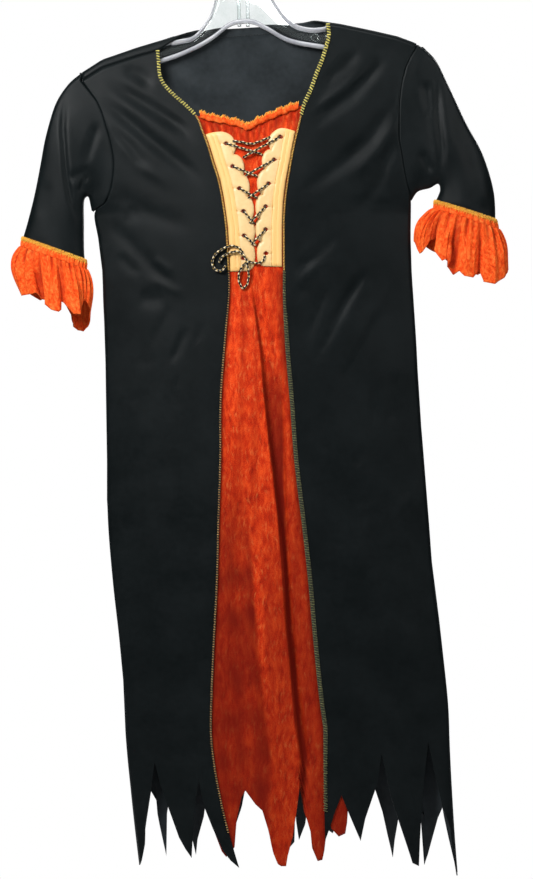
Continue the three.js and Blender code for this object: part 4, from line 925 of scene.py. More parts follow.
def build_stitch_tree():
    tree = bpy.data.node_groups.new("stitches_along_a_seam", "GeometryNodeTree")
    for name, kind in STITCH_INPUTS:
        tree.interface.new_socket(name=name, in_out="INPUT", socket_type=kind)
    tree.interface.new_socket(name="Stitches", in_out="OUTPUT", socket_type="NodeSocketGeometry")
    given = tree.nodes.new("NodeGroupInput").outputs
    seam = put(tree, "GeometryNodeMeshToCurve", {"Mesh": given["Seam"]}).outputs["Curve"]
    stops = put(tree, "GeometryNodeResampleCurve", {"Curve": seam, "Length": given["Spacing"]},
                mode="LENGTH").outputs["Curve"]
    reach = maths(tree, "MULTIPLY", given["Length"], 0.5)
    start = put(tree, "ShaderNodeCombineXYZ", {"X": maths(tree, "MULTIPLY", reach, -1.0)}).outputs[0]
    crown = put(tree, "ShaderNodeCombineXYZ", {"Z": maths(tree, "MULTIPLY", given["Rise"], 2.0)}).outputs[0]
    end = put(tree, "ShaderNodeCombineXYZ", {"X": reach}).outputs[0]
    arch = put(tree, "GeometryNodeCurveQuadraticBezier",
               {"Resolution": 5, "Start": start, "Middle": crown, "End": end}).outputs[0]
    section = put(tree, "GeometryNodeCurvePrimitiveCircle",
                  {"Resolution": 6, "Radius": given["Thread radius"]}, mode="RADIUS").outputs["Curve"]
    stitch = put(tree, "GeometryNodeCurveToMesh",
                 {"Curve": arch, "Profile Curve": section, "Fill Caps": True}).outputs["Mesh"]
    outward = put(tree, "GeometryNodeInputNamedAttribute", {"Name": "outward"},
                  data_type="FLOAT_VECTOR").outputs["Attribute"]
    forward = tree.nodes.new("GeometryNodeInputTangent").outputs[0]
    facing = put(tree, "FunctionNodeAxesToRotation", {"Primary Axis": outward, "Secondary Axis": forward},
                 primary_axis="Z", secondary_axis="X").outputs[0]
    swing = put(tree, "FunctionNodeRandomValue",
                {2: maths(tree, "MULTIPLY", given["Jitter"], -1.0), 3: given["Jitter"],
                 "Seed": given["Seed"]}, data_type="FLOAT").outputs[1]
    turn = put(tree, "ShaderNodeCombineXYZ", {"Z": maths(tree, "ADD", given["Lean"], swing)}).outputs[0]
    leaning = put(tree, "FunctionNodeEulerToRotation", {0: turn}).outputs[0]
    rotation = put(tree, "FunctionNodeRotateRotation", {"Rotation": facing, "Rotate By": leaning},
                   rotation_space="LOCAL").outputs[0]
    laid = put(tree, "GeometryNodeInstanceOnPoints", {"Points": stops, "Instance": stitch,
                                                      "Rotation": rotation}).outputs[0]
    real = put(tree, "GeometryNodeRealizeInstances", {"Geometry": laid}).outputs[0]
    soft = put(tree, "GeometryNodeSetShadeSmooth", {"Geometry": real}).outputs[0]
    finished = put(tree, "GeometryNodeSetMaterial",
                   {"Geometry": soft, "Material": given["Thread"]}).outputs[0]
    put(tree, "NodeGroupOutput", {"Stitches": finished})
    return tree


STITCH_TREE = build_stitch_tree()


def sew(name, seams, thread, spacing, length, radius, rise=0.3, lean=0.0, jitter=0.05, seed=3):
    """One mesh of stitches along seams, which are pairs of points and outward directions"""
    points = np.concatenate([line for line, _ in seams]) * MM
    outward = np.concatenate([directions for _, directions in seams])
    edges, first = [], 0
    for line, _ in seams:
        edges += [(index, index + 1) for index in range(first, first + len(line) - 1)]
        first += len(line)
    guide = bpy.data.meshes.new(name + "_guide")
    guide.from_pydata(points.tolist(), edges, [])
    guide.attributes.new("outward", "FLOAT_VECTOR", "POINT").data.foreach_set("vector", outward.ravel())
    maker = bpy.data.objects.new(name + "_guide", guide)
    bpy.context.scene.collection.objects.link(maker)
    modifier = maker.modifiers.new("stitches", "NODES")
    modifier.node_group = STITCH_TREE
    values = {"Spacing": spacing * MM, "Length": length * MM, "Thread radius": radius * MM, "Rise": rise * MM,
              "Lean": lean, "Jitter": jitter, "Seed": seed, "Thread": thread}
    for socket in STITCH_TREE.interface.items_tree:
        if socket.in_out == "INPUT" and socket.name in values:
            modifier[socket.identifier] = values[socket.name]
    depsgraph = bpy.context.evaluated_depsgraph_get()
    mesh = bpy.data.meshes.new_from_object(maker.evaluated_get(depsgraph))
    bpy.data.objects.remove(maker)
    mesh.name = name
    piece = bpy.data.objects.new(name, mesh)
    bpy.context.scene.collection.objects.link(piece)
    return piece


def place_piece(piece, slot, *nodes):
    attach(piece, BODY)
    if nodes:
        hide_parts(*nodes)
    return piece


# Camera first: the photograph's straight front view
VIEW_CENTRE = (32.55, -546.5)
VIEW_HEIGHT = 922.95
CAMERA_AWAY = 4.2
SENSOR = 36.0
camera_data = bpy.data.cameras.new("camera")
camera_data.sensor_width = SENSOR
camera_data.lens = SENSOR * CAMERA_AWAY / (VIEW_HEIGHT * MM)
camera = bpy.data.objects.new("camera", camera_data)
camera.location = (VIEW_CENTRE[0] * MM, -CAMERA_AWAY, VIEW_CENTRE[1] * MM)
camera.rotation_euler = (math.pi / 2, 0, 0)
bpy.context.scene.collection.objects.link(camera)
bpy.context.scene.camera = camera


# Cords
def panel_surface(x, z):
    return half_depth(x, z) + PANEL_SET


def over_panel(line, lifts):
    line = np.asarray(line, float)
    return np.stack([line[:, 0], -(panel_surface(line[:, 0], line[:, 1]) + lifts), line[:, 1]], axis=1)


def cord_mesh(name, routes, radius, finish):
    """Round cords on smooth routes, with a braid's low ridges and rounded ends, as one mesh"""
    turns = 2 * np.pi * np.arange(CORD_SIDES) / CORD_SIDES
    solids, uvs = [], []
    for route in routes:
        line = smooth_line(route, CORD_STEP)
        run = run_of(line)
        winding = run[:, None] * BRAID_TURN
        strands = np.sin(3 * turns + winding) * np.sin(3 * turns - winding)
        rounding = np.ones((len(line), 1))
        rounding[[0, -1]], rounding[[1, -2]] = 0.45, 0.85
        reach = radius * rounding * (0.96 + 0.07 * strands)
        solids.append(solid_of_rings(rings_along(line, reach, CORD_SIDES)))
        uvs += [(2 * np.pi * radius * side / CORD_SIDES, run[row])
                for corners in solids[-1][2] for row, side in corners]
    return make_piece(name, *join_solids(solids), finish, uvs)


def lacing():
    for row in range(5):
        routes = []
        for eyelet, end, over in ((LEFT_EYELETS[row], LEFT_STRETCH_ENDS[row], 0.2),
                                  (RIGHT_EYELETS[row], RIGHT_STRETCH_ENDS[row], 2.4)):
            shares = np.array([0, 0.12, 0.35, 0.62, 0.85, 1.0])
            line = np.array([eyelet]) * (1 - shares[:, None]) + np.array([end]) * shares[:, None]
            lifts = LACE_LIFT + np.array([-2.2, 0.1, 0.2, over, 0.7 * over, -0.9])
            routes.append(over_panel(line, lifts))
        piece = cord_mesh(f"lace_row_{row + 1}", routes, LACE_RADIUS, BRAID)
        place_piece(piece, "lace_braid", f"lace_crossing_{row + 1}")
    top = over_panel(LACE_TOP, LACE_LIFT + np.array([-1.0, 0, 0.2, 0, -1.0]))
    place_piece(cord_mesh("lace_top_row", [top], LACE_RADIUS, BRAID), "lace_braid", "lace_top")
    for name, table, node in (("lace_tie_right", RIGHT_END, "lace_end_right"),
                              ("lace_tie_left", LEFT_END, "lace_end_left")):
        rows = np.array(table)
        route = over_panel(rows[:, :2], rows[:, 2])
        piece = place_piece(cord_mesh(name, [route], LACE_RADIUS, BRAID), "lace_braid", node)


lacing()


# The black fronts
def turned_over_rim(x, run):
    quarter = FOLD_RADIUS * np.pi / 2
    reach = np.abs(run)
    under = np.where(reach < quarter, FOLD_RADIUS * (1 - np.cos(np.minimum(reach / FOLD_RADIUS, 1.5708))),
                     FOLD_RADIUS + reach - quarter)
    z = ridge(x) - under
    return np.sign(run) * half_depth(x, z), z


def at_side_seam(from_edge, z):
    """Below the armholes front and back are drawn together along their outer edges"""
    return 1 - SEAM_PINCH * (1 - smooth(0, SEAM_REACH, from_edge)) * smooth(*UNDERARM, z)


def front_panel(name, table, hem, creases, tab_lifts, seed):
    fine = np.linspace(0, LAST_STOP, 2400) / (len(table) - 1)
    ends = along(table, fine)
    run = run_of(0.5 * (ends[:, :2] + ends[:, 2:]))
    stops = np.interp(np.linspace(0, run[-1], round(run[-1] / ROW_STEP)), run, fine)
    rows = along(table, stops)
    columns = columns_for(hem, FRONT_COLUMNS)
    x = mix(rows[:, 0:1], rows[:, 2:3], columns)
    z = mix(rows[:, 1:2], rows[:, 3:4], columns)
    raised = turned_over_rim(x[0], read(SEAM_RUN, x[0])[0])[1] - SEAM_GAP - z[0]
    z[:RAISED_ROWS] += raised * np.linspace(1, 0, RAISED_ROWS)[:, None]
    x, z = down_to_hem(x, z, hem, columns, mix(1.3, 1.6, columns))
    held = smooth(0.06, 0.2, 1 - columns) * smooth(0, 0.06, columns)
    below_rim = smooth(10, 30, ridge(x) - z)
    pressed = mix(0.42, 0.68, smooth(-330, -240, z)) * crease_depth(creases, x, z)
    pressed = pressed + 0.35 * unevenness(x, z, seed, 70)
    seam_roll = 0.3 * (1 - smooth(0, 0.025, columns)) * below_rim
    down = smooth(HEM_BASE, HEM_TIPS, z)
    tabs = np.interp(columns, *zip(*tab_lifts)) * down * held
    depth = half_depth(x, z) - held * below_rim * pressed - seam_roll + tabs
    depth = depth * at_side_seam(columns, z)
    points = np.stack([x, -depth, z], axis=2)
    return cloth(name, points, BLACK_KNIT, "front"), points


front_left, left_points = front_panel(
    "front_panel_left", LEFT_FRONT, LEFT_HEM, LEFT_CREASES,
    [(0, 0), (0.12, 2.5), (0.34, -2), (0.55, 3.5), (0.7, 1), (0.82, -2), (0.93, 2), (1, 0)], 11)
front_right, right_points = front_panel(
    "front_panel_right", RIGHT_FRONT, RIGHT_HEM, RIGHT_CREASES,
    [(0, 0), (0.1, 2.5), (0.2, -2), (0.33, 3), (0.45, 1), (0.57, -2), (0.72, 3), (0.87, -1), (1, 0)], 12)


# The back, which turns over the hanger's rim to the shoulder seams
def mirrored(creases):
    """The fronts' creases on the back: swapped from side to side, softer and a little lower"""
    return [(width, 0.8 * depth, [(60 - x, z - 9) for x, z in points]) for width, depth, points in creases]


def back_panel():
    columns = columns_for(BACK_HEM, BACK_COLUMNS)
    top_left, top_right = ARMHOLE_AND_SIDE[0][1:]
    top_x = mix(top_left, top_right, columns)
    starts = read(SEAM_RUN, top_x)[0]
    rows_x, rows_y, rows_z, edge_runs = [], [], [], []
    for down in np.linspace(0, 1, YOKE_ROWS):
        run = mix(starts, YOKE_RUN, down)
        level = turned_over_rim(top_x, run)[1]
        left, right = read(ARMHOLE_AND_SIDE, level)
        x = mix(left, right, columns)
        y, z = turned_over_rim(x, run)
        for rows, row in ((rows_x, x), (rows_y, y), (rows_z, z), (edge_runs, run - starts)):
            rows.append(row)
    first_z = rows_z[-1]
    count = round((first_z.mean() - HEM_BASE) / (ROW_STEP * 1.15))
    for down in np.linspace(0, 1, count + 1)[1:]:
        z = mix(first_z, HEM_BASE, down)
        left, right = read(ARMHOLE_AND_SIDE, z)
        x = mix(left, right, columns)
        for rows, row in ((rows_x, x), (rows_y, half_depth(x, z)), (rows_z, z),
                          (edge_runs, edge_runs[-1] + ROW_STEP)):
            rows.append(row)
    body_rows = len(rows_x)
    x, z = down_to_hem(np.array(rows_x), np.array(rows_z), BACK_HEM, columns, 1.3)
    y = np.concatenate([np.array(rows_y), half_depth(x[body_rows:], z[body_rows:])])
    creases = mirrored(LEFT_CREASES) + mirrored(RIGHT_CREASES)
    held = smooth(0, 0.05, columns) * smooth(1, 0.95, columns) * smooth(26, 60, ridge(x) - z)
    pressed = crease_depth(creases, x, z) + 0.4 * unevenness(x, z, 21, 80)
    tabs = 3.0 * np.sin(columns * 41) * smooth(HEM_BASE, HEM_TIPS, z)
    y = (y + held * (tabs - pressed)) * at_side_seam(np.minimum(columns, 1 - columns), z)
    points = np.stack([x, y, z], axis=2)
    runs = np.concatenate([np.array(edge_runs), np.full((len(x) - body_rows, len(columns)), 999.0)])
    neck = smooth(NECK_ENDS[0], NECK_ENDS[0] + 8, x) * smooth(NECK_ENDS[1], NECK_ENDS[1] - 8, x)
    hem_band = 0.7 * neck * (1 - smooth(NECK_HEM + 0.5, NECK_HEM + 1.5, runs))
    normals = grid_normals(points, "back", False)
    piece = wall("back_panel", points, points - normals * (CLOTH + hem_band)[..., None], BLACK_KNIT,
                 inner_finish=KNIT_WRONG_SIDE)
    inside = np.abs(top_x - NECK_MIDDLE) < NECK_HALF

    def at_stitching(grid):
        return np.array([[np.interp(NECK_HEM, runs[:YOKE_ROWS, column], grid[:YOKE_ROWS, column, axis])
                          for axis in range(3)] for column in np.flatnonzero(inside)])

    return piece, at_stitching(points), at_stitching(normals)


back, neck_line, neck_facing = back_panel()
neck_stitches = sew("neck_hem_stitches",
                    [(neck_line - neck_facing * (CLOTH + 0.75), -neck_facing),
                     (neck_line + neck_facing * 0.05, neck_facing)],
                    BLACK_THREAD, 3.0, 2.2, 0.22, rise=0.25)


# The velvet centre front, with one long sharp fold
def velvet_relief(x, z):
    left, right = read(FRONT_EDGES, z)
    edge, height, recess, hollow = read(VELVET_FOLD, z)
    inside = smooth(left, left + 12, x) * smooth(right, right - 12, x)
    past = x - edge
    plateau = PLATEAU * smooth(-560, -740, z)
    rise = height * np.exp(-((np.minimum(past + plateau, 0) / mix(22, 9, smooth(-500, -740, z))) ** 2))
    drop = mix(height, -hollow, smooth(0, 2.6, past)) * (1 - smooth(recess, recess + 4, past))
    swell = 0.9 * unevenness(x * 1.6, z * 0.5, 31, 60) * smooth(-380, -430, z)
    return inside * (np.where(past < 0, rise, drop) + swell)


def painted_shade_and_tone(x, z, gathers, top_z):
    """Painted shade in the velvet's colour, with some random tone: left of the plateau, in the recess and
    along the fold's edge, in the top pleats, towards the bottom, right of the recess and beside the fronts'
    edges
    """
    edge, _, recess, _ = read(VELVET_FOLD, z)
    left, right = read(FRONT_EDGES, z)
    past = x - edge
    # less painted shade along the crest of the plateau, low down
    along_crest = np.exp(-((past + PLATEAU) / 5) ** 2) * smooth(-540, -640, z) * (1 - smooth(-780, -860, z))
    # painted shade left of the plateau
    low_left = (1 - smooth(-33, -28, past)) * smooth(-540, -720, z)
    low_left = low_left * (0.6 + 0.22 * unevenness(x, z, 33, 30))
    # painted shade in the recess right of the fold
    recess_dark = smooth(-0.5, 1, past) * (1 - smooth(recess - 1, recess + 1.5, past))
    recess_dark = recess_dark * mix(0.66, 0.97, smooth(-480, -600, z)) * smooth(-452, -500, z)
    # painted shadow along the fold's edge
    fold_line = 0.6 * smooth(-1, 0.5, past) * (1 - smooth(1.5, 4, past)) * smooth(-385, -420, z)
    # random tone, in broad streaks
    zones = 0.10 + 0.22 * unevenness(x * 2.4, z * 0.4, 35, 60)
    # painted shade in the top pleats
    pleated = 0.5 * (1 - gathers) * (1 - smooth(8, 30, top_z[None] - z))
    # painted shade: darker towards the bottom
    lower = 0.52 * smooth(-480, -800, z) * (1 - 0.6 * along_crest)
    # darker right of the recess, low down
    beyond = 0.32 * smooth(recess, recess + 3, past) * smooth(-480, -600, z)
    # painted shade beside the fronts' edges, where the velvet runs under them
    under_edges = 0.5 * (1 - smooth(left, left + 6, x)) + 0.5 * smooth(right - 6, right, x)
    # painted shade by the right front's edge, just below the right panel
    at_right = 0.5 * smooth(right - 9, right - 5, x) * smooth(-371, -374, z) * (1 - smooth(-450, -500, z))
    kept = 1.0
    for share in (low_left, recess_dark, fold_line, beyond, at_right, pleated, lower, under_edges, zones):
        kept = kept * (1 - np.clip(share, 0, 0.95))
    return 1 - kept


def velvet_panel():
    columns = columns_for(VELVET_HEM, VELVET_COLUMNS)
    top_left, top_right = read(FRONT_EDGES, VELVET_LEVEL)
    top_x = mix(top_left - UNDERLAP, top_right + UNDERLAP, columns)
    top_z = read(VELVET_TOP, top_x)[0]
    count = round((VELVET_LEVEL - HEM_BASE) / 2.4)
    down = np.linspace(0, 1, count)[:, None]
    z = mix(top_z[None], HEM_BASE, down)
    left, right = read(FRONT_EDGES, z)
    x = mix(left - UNDERLAP, right + UNDERLAP, columns)
    x[0] = top_x
    x, z = down_to_hem(x, z, VELVET_HEM, columns, 1)
    left, right = read(FRONT_EDGES, z)
    inside = smooth(left, left + 6, x) * smooth(right, right - 6, x)
    gathers = 0.5 + 0.5 * np.sin(2 * np.pi * VELVET_PLEATS * columns + 1.5 * np.sin(9 * columns))
    pleats = -2.2 * gathers * (1 - smooth(4, 34, top_z[None] - z)) * inside
    tabs = 2.0 * np.sin(columns * 19) * smooth(HEM_BASE, HEM_TIPS, z) * inside
    depth = half_depth(x, z) + VELVET_SET + velvet_relief(x, z) + pleats + tabs
    points = np.stack([x, -depth, z], axis=2)
    piece = cloth("velvet_panel", points, CRUSHED_VELVET, "front")
    # the attribute holds painted shade with some random tone, the same on both walls
    mark_points(piece, "painted_shade_and_tone", np.concatenate([painted_shade_and_tone(x, z, gathers, top_z).ravel()] * 2))
    return piece


velvet = velvet_panel()


def gathered_edge():
    """The rolled and overlocked top of the velvet, drawn up into small gathers"""
    x = np.linspace(HEADING_FROM, HEADING_TO, 220)[None]
    share = (x - HEADING_FROM) / (HEADING_TO - HEADING_FROM)
    up = np.linspace(0, 1, HEADING_ROWS)[:, None]
    puckers = np.sin(2 * np.pi * HEADING_GATHERS * share + 2 * np.sin(17 * share))
    slow = np.sin(2 * np.pi * 9 * share)
    z = read(VELVET_TOP, x)[0] + mix(-2.2 + 0.5 * slow, 5.6 + 0.6 * puckers + 0.8 * slow, up)
    roll = 2.0 * np.sin(np.pi * up) + (0.6 * puckers + 1.0 * slow) * up
    depth = half_depth(x, z) + VELVET_SET + 1.3 + roll
    points = np.stack([np.broadcast_to(x, z.shape), -depth, z], axis=2)
    return cloth("velvet_gathered_edge", points, RUFFLE_VELVET, "front", thickness=1.5), points


heading, heading_points = gathered_edge()
heading_normals = grid_normals(heading_points, "front", False)
heading_stitches = sew("gathered_edge_serging",
                       [(heading_points[-2] + heading_normals[-2] * 0.2, heading_normals[-2])],
                       YELLOW_SERGING, 1.9, 3.6, 0.42, rise=0.35, lean=1.25, jitter=0.25)


# The two scalloped lacing panels
def scallop_edge(top, notches, bulges):
    """The top corner, then a rounded scallop from each notch to the next"""
    quarter = np.linspace(0, np.pi / 2, 6)
    line = list(smooth_line(np.array(top + [notches[0]], float), 1.6)[:-1])
    for notch, bulge, after in zip(notches, bulges, notches[1:]):
        notch, bulge, after = np.array(notch), np.array(bulge), np.array(after)
        for a in quarter:
            out, down = np.sin(a), 1 - np.cos(a)
            line.append(np.array([mix(notch[0], bulge[0], out), mix(notch[1], bulge[1], down)]))
        for a in quarter[1:-1]:
            out, down = 1 - np.cos(a), np.sin(a)
            line.append(np.array([mix(bulge[0], after[0], out), mix(bulge[1], after[1], down)]))
    line.append(np.array(notches[-1]))
    return np.array(line)


def inside_outline(points, outline):
    x, z = points[:, 0], points[:, 1]
    found = np.zeros(len(points), bool)
    for (x0, z0), (x1, z1) in zip(outline, np.roll(outline, -1, 0)):
        crosses = (z0 > z) != (z1 > z)
        found ^= crosses & (x < (x1 - x0) * (z - z0) / (z1 - z0 + 1e-12) + x0)
    return found


def from_line(points, line):
    """How far each point lies from a line of points"""
    nearest = np.full(len(points), 1e9)
    for start, end in zip(line[:-1], line[1:]):
        step = end - start
        share = np.clip(((points - start) @ step) / (step @ step), 0, 1)
        nearest = np.minimum(nearest, np.linalg.norm(points - start - share[:, None] * step, axis=1))
    return nearest


def circle(centre, radius, turns):
    return centre + radius * np.stack([np.cos(turns), np.sin(turns)], axis=1)


def seam_on_panel(line, lift):
    return over_panel(line, lift), np.tile([0.0, -1, 0], (len(line), 1))


def lacing_panel(side, top, notches, bulges, eyelets):
    eyelets = np.array(eyelets)
    inward = 1 if side == "left" else -1

    def outer_x(z):
        return read(FRONT_EDGES, z)[0 if side == "left" else 1] + inward * PANEL_INSET

    inner = scallop_edge(top, notches, bulges)
    outer_z = np.linspace(PANEL_BOTTOM[side], top[0][1] - 1.5, 62)
    outer = np.stack([outer_x(outer_z), outer_z], axis=1)
    near_notch = (mix(notches[-1][0], outer[0, 0], 0.15), PANEL_BOTTOM[side] + 0.6)
    bottom = even_line(np.array([notches[-1], near_notch, outer[0]], float), 2.0)[1:-1]
    outline = np.concatenate([inner, bottom, outer])
    turns = np.linspace(0, 2 * np.pi, 16, endpoint=False)
    rings = [circle(eyelet, EYELET_RADIUS, turns) for eyelet in eyelets]
    spans = [np.arange(low, high, PANEL_GRID) for low, high in zip(outline.min(axis=0), outline.max(axis=0))]
    grid = np.stack(np.meshgrid(*spans), axis=2).reshape(-1, 2)
    closed_outline = np.concatenate([outline, outline[:1]])
    keep = inside_outline(grid, outline) & (from_line(grid, closed_outline) > CLEAR_OF_RIM)
    for eyelet in eyelets:
        keep &= np.linalg.norm(grid - eyelet, axis=1) > EYELET_RADIUS + CLEAR_OF_RIM
    loops = [outline, *rings]
    points = np.concatenate([*loops, grid[keep]])
    edges, first = [], 0
    for loop in loops:
        edges += [(first + index, first + (index + 1) % len(loop)) for index in range(len(loop))]
        first += len(loop)
    found, _, triangles, *_ = delaunay_2d_cdt([tuple(point) for point in points], edges, [], 1, 1e-6)
    flat = np.array([tuple(point) for point in found])
    triangles = np.array([triangle for triangle in triangles if len(triangle) == 3])
    middles = flat[triangles].mean(axis=1)
    solid = inside_outline(middles, outline)
    for eyelet in eyelets:
        solid &= np.linalg.norm(middles - eyelet, axis=1) > EYELET_RADIUS * 0.97
    triangles = triangles[solid]
    # stitched lines: two down the outer band, and one from the band by each eyelet to its notch
    lines = []
    band_z = np.linspace(top[0][1] - 3, PANEL_BOTTOM[side] + 2, 60)
    for from_edge in BAND_LINES:
        lines.append(np.stack([outer_x(band_z) + inward * from_edge, band_z], axis=1))
    for eyelet, notch in zip(eyelets, notches):
        band_x = outer_x(eyelet[1]) + inward * BAND_LINES[1]
        lines.append(np.array([(band_x, eyelet[1] + 0.6), (eyelet[0] - inward * 3.2, eyelet[1])]))
        lines.append(np.array([(eyelet[0] + inward * 3.2, eyelet[1] - 0.6),
                               (notch[0] - inward * 0.8, notch[1])]))
    rim = from_line(flat, closed_outline)
    puff = 0.9 * smooth(0, 3.5, rim) - 0.5 * np.exp(-((rim / 0.9) ** 2))
    for line in lines:
        puff -= 0.8 * np.exp(-((from_line(flat, line) / 1.1) ** 2))
    puff += 0.12 * unevenness(flat[:, 0], flat[:, 1], 41, 14)
    count = len(flat)
    all_sides = [(int(a), int(b)) for triangle in triangles for a, b in zip(triangle, np.roll(triangle, -1))]
    known = set(all_sides)
    open_sides = [(a, b) for a, b in all_sides if (b, a) not in known]
    faces = [tuple(triangle) for triangle in triangles]
    faces += [tuple(triangle[::-1] + count) for triangle in triangles]
    faces += [(b, a, a + count) for a, b in open_sides] + [(b, a + count, b + count) for a, b in open_sides]
    points = np.concatenate([over_panel(flat, puff), over_panel(flat, -SATIN)])
    faces = np.array(faces)
    if volume_sign(points, faces) < 0:
        faces = faces[:, ::-1]
    uv = np.concatenate([flat, flat])[faces.ravel()]
    rim = (faces >= count).any(axis=1) & (faces < count).any(axis=1)
    piece = make_piece(f"satin_panel_{side}", points, faces, CREAM_SATIN, uv, rim=rim)
    band = 1 - smooth(BAND_LINES[1] - 0.5, BAND_LINES[1] + 0.5, np.abs(points[:, 0] - outer_x(points[:, 2])))
    mark_points(piece, "outer_band", band)
    seams = [seam_on_panel(even_line(line, 1.5), 0.05) for line in lines]
    stitches = sew(f"satin_stitches_{side}", seams, CREAM_THREAD, 2.4, 2.0, 0.3, rise=0.3)
    turns = np.linspace(0, 2 * np.pi, 25)
    rounds = [seam_on_panel(circle(eyelet, EYELET_RADIUS + 0.1, turns), 0.35) for eyelet in eyelets]
    bindings = sew(f"eyelet_threads_{side}", rounds, MAROON_THREAD, 0.62, 1.3, 0.24, rise=0.25,
                   lean=math.pi / 2, jitter=0.15)
    return piece, stitches, bindings


panels = {
    "left": lacing_panel("left", LEFT_PANEL_TOP, LEFT_NOTCHES, LEFT_BULGES, LEFT_EYELETS),
    "right": lacing_panel("right", RIGHT_PANEL_TOP, RIGHT_NOTCHES, RIGHT_BULGES, RIGHT_EYELETS),
}


# Serged edges of the neckline and the fronts
PANEL_EDGE_WIDTH = 1.4


def serged_edge(side, points, neck_width, front_width, front_thread, lowest):
    """A dark tape with bars across it: gold beads at the neck, orange bars by the satin, fine ones below"""
    keep = points[:, -1, 2] > lowest
    rows = points[keep]
    normals = grid_normals(rows, "front", False)
    edge, edge_normal = rows[:, -1], normals[:, -1]
    widths = [(-190, neck_width), (-215, PANEL_EDGE_WIDTH), (-360, PANEL_EDGE_WIDTH),
              (-385, 0.6 * front_width), (-440, front_width)]
    width = read(widths, edge[:, 2])[0][:, None]
    inner = np.empty_like(edge)
    for index, row in enumerate(rows):
        run = run_of(row[::-1])
        inner[index] = [np.interp(width[index, 0], run, row[::-1, axis]) for axis in range(3)]
    aside = (edge - inner) / np.linalg.norm(edge - inner, axis=1, keepdims=True)
    profile = [(0.0, 0.15), (0.12, 0.75), (0.35, 1.1), (0.65, 1.15), (0.9, 0.85), (1.02, 0.3), (1.03, -0.7)]
    outer = np.stack([inner + aside * width * share + edge_normal * (SEAM_GAP * 0.4 + rise)
                      for share, rise in profile], axis=1)
    core = np.stack([inner + aside * width * mix(0.1, 0.92, share) + edge_normal * min(rise - 0.4, 0.1)
                     for share, rise in profile], axis=1)
    tape = wall(f"serged_edge_{side}", outer, core, EDGE_TAPE)
    middle = np.concatenate([inner + aside * width * 0.52 + edge_normal * 1.18, edge_normal], axis=1)
    bars = [tape]
    for name, top, bottom, length, radius, spacing, thread in (
            ("neck_beads", 0, -206, neck_width * 0.98, 0.66, 2.8, GOLD_SERGING),
            ("panel_bars", -206, -371, PANEL_EDGE_WIDTH, 0.4, 1.6, ORANGE_SERGING),
            ("upper_bars", -371, -415, front_width * 0.7, 0.33, 2.6, front_thread),
            ("front_bars", -415, -1010, front_width, 0.33, 2.6, front_thread)):
        line = even_line(middle[(edge[:, 2] <= top) & (edge[:, 2] > bottom)], 1.5)
        bars.append(sew(f"gold_{name}_{side}", [(line[:, :3], line[:, 3:])], thread, spacing, length, radius,
                        rise=0.4, lean=math.pi / 2 - 0.2, jitter=0.3, seed=7))
    return bars


edges = {
    "left": serged_edge("left", left_points, 3.4, 1.7, BRONZE_SERGING, -960),
    "right": serged_edge("right", right_points, 4.0, 4.4, GREEN_GOLD_SERGING, -937),
}


# Sleeves
def tube_turns(armhole, count):
    keys = np.arccos(1 - 2 * np.array([row[0] for row in armhole]))
    even = np.linspace(0, np.pi, count // 2 + 1)
    clear = np.abs(even[:, None] - keys[None]).min(axis=1) > CLEAR_ROUND_TUBE * np.pi / count
    front = np.unique(np.concatenate([keys, even[clear]]))
    return np.concatenate([front, 2 * np.pi - front[-2:0:-1]])


def sleeve(side, table, armhole, creases):
    turns = tube_turns(armhole, SLEEVE_COLUMNS)
    across = (1 - np.cos(turns)) / 2
    down = np.linspace(0, 1, SLEEVE_ROWS)[:, None]
    outer_x, outer_z, inner_x, inner_z = np.moveaxis(along(table, down), -1, 0)
    arm_x, arm_z = read(armhole, across)
    start = table[0]
    hold = (1 - down) ** 2.5
    x = mix(outer_x, inner_x, across) + hold * (arm_x - mix(start[0], start[2], across))
    z = mix(outer_z, inner_z, across) + hold * (arm_z - mix(start[1], start[3], across))
    free = smooth(0, 0.5, down)
    sine = np.sin(turns)
    seam = half_depth(x, z) / np.maximum(np.abs(sine), 0.35)
    depth = mix(np.minimum(seam, SLEEVE_DEPTH), SLEEVE_DEPTH, free)
    points = np.stack([x, -sine * depth, z], axis=2)
    normals = grid_normals(points, "round", True)
    ahead = np.clip(1.6 * sine, 0, 1)
    behind = np.clip(-1.6 * sine, 0, 1)
    ends = smooth(0, 0.1, down) * smooth(1, 0.93, down)
    pressed = ahead * crease_depth(creases, x, z) + 0.8 * behind * crease_depth(creases, x + 6, z + 14)
    pressed = pressed + 0.5 * unevenness(x, z, 51, 45)
    points = points - normals * (ends * pressed)[..., None]
    # the seam allowance, tucked under the armhole's edge, and at its two tips towards the neck
    upward = points[0] - points[1]
    upward /= np.linalg.norm(upward, axis=1, keepdims=True)
    within = (np.abs(sine) ** 0.7)[:, None]
    to_neck = np.array([1.8 if side == "left" else -1.8, 0, -0.3])
    tuck = points[0] + within * (TUCK_UP * upward - TUCK_IN * normals[0])
    tuck = tuck + (1 - within) * (to_neck - 0.5 * normals[0])
    brink = mix(points[0], tuck, 0.08)
    points = np.concatenate([tuck[None], brink[None], points])
    return cloth(f"sleeve_shell_{side}", points, BLACK_KNIT, "round", closed=True)


sleeves = {
    "left": sleeve("left", LEFT_SLEEVE, LEFT_ARMHOLE, LEFT_SLEEVE_CREASES),
    "right": sleeve("right", RIGHT_SLEEVE, RIGHT_ARMHOLE, RIGHT_SLEEVE_CREASES),
}


# Cuffs
def cuff_ring(table, place, turns):
    across = (1 - np.cos(turns)) / 2
    outer_x, outer_z, inner_x, inner_z, depth = along(table, np.array(place))
    return mix(outer_x, inner_x, across), mix(outer_z, inner_z, across), depth


def cuff_gathers(turns):
    return np.sin(CUFF_GATHERS * turns + 1.4 * np.sin(5 * turns))


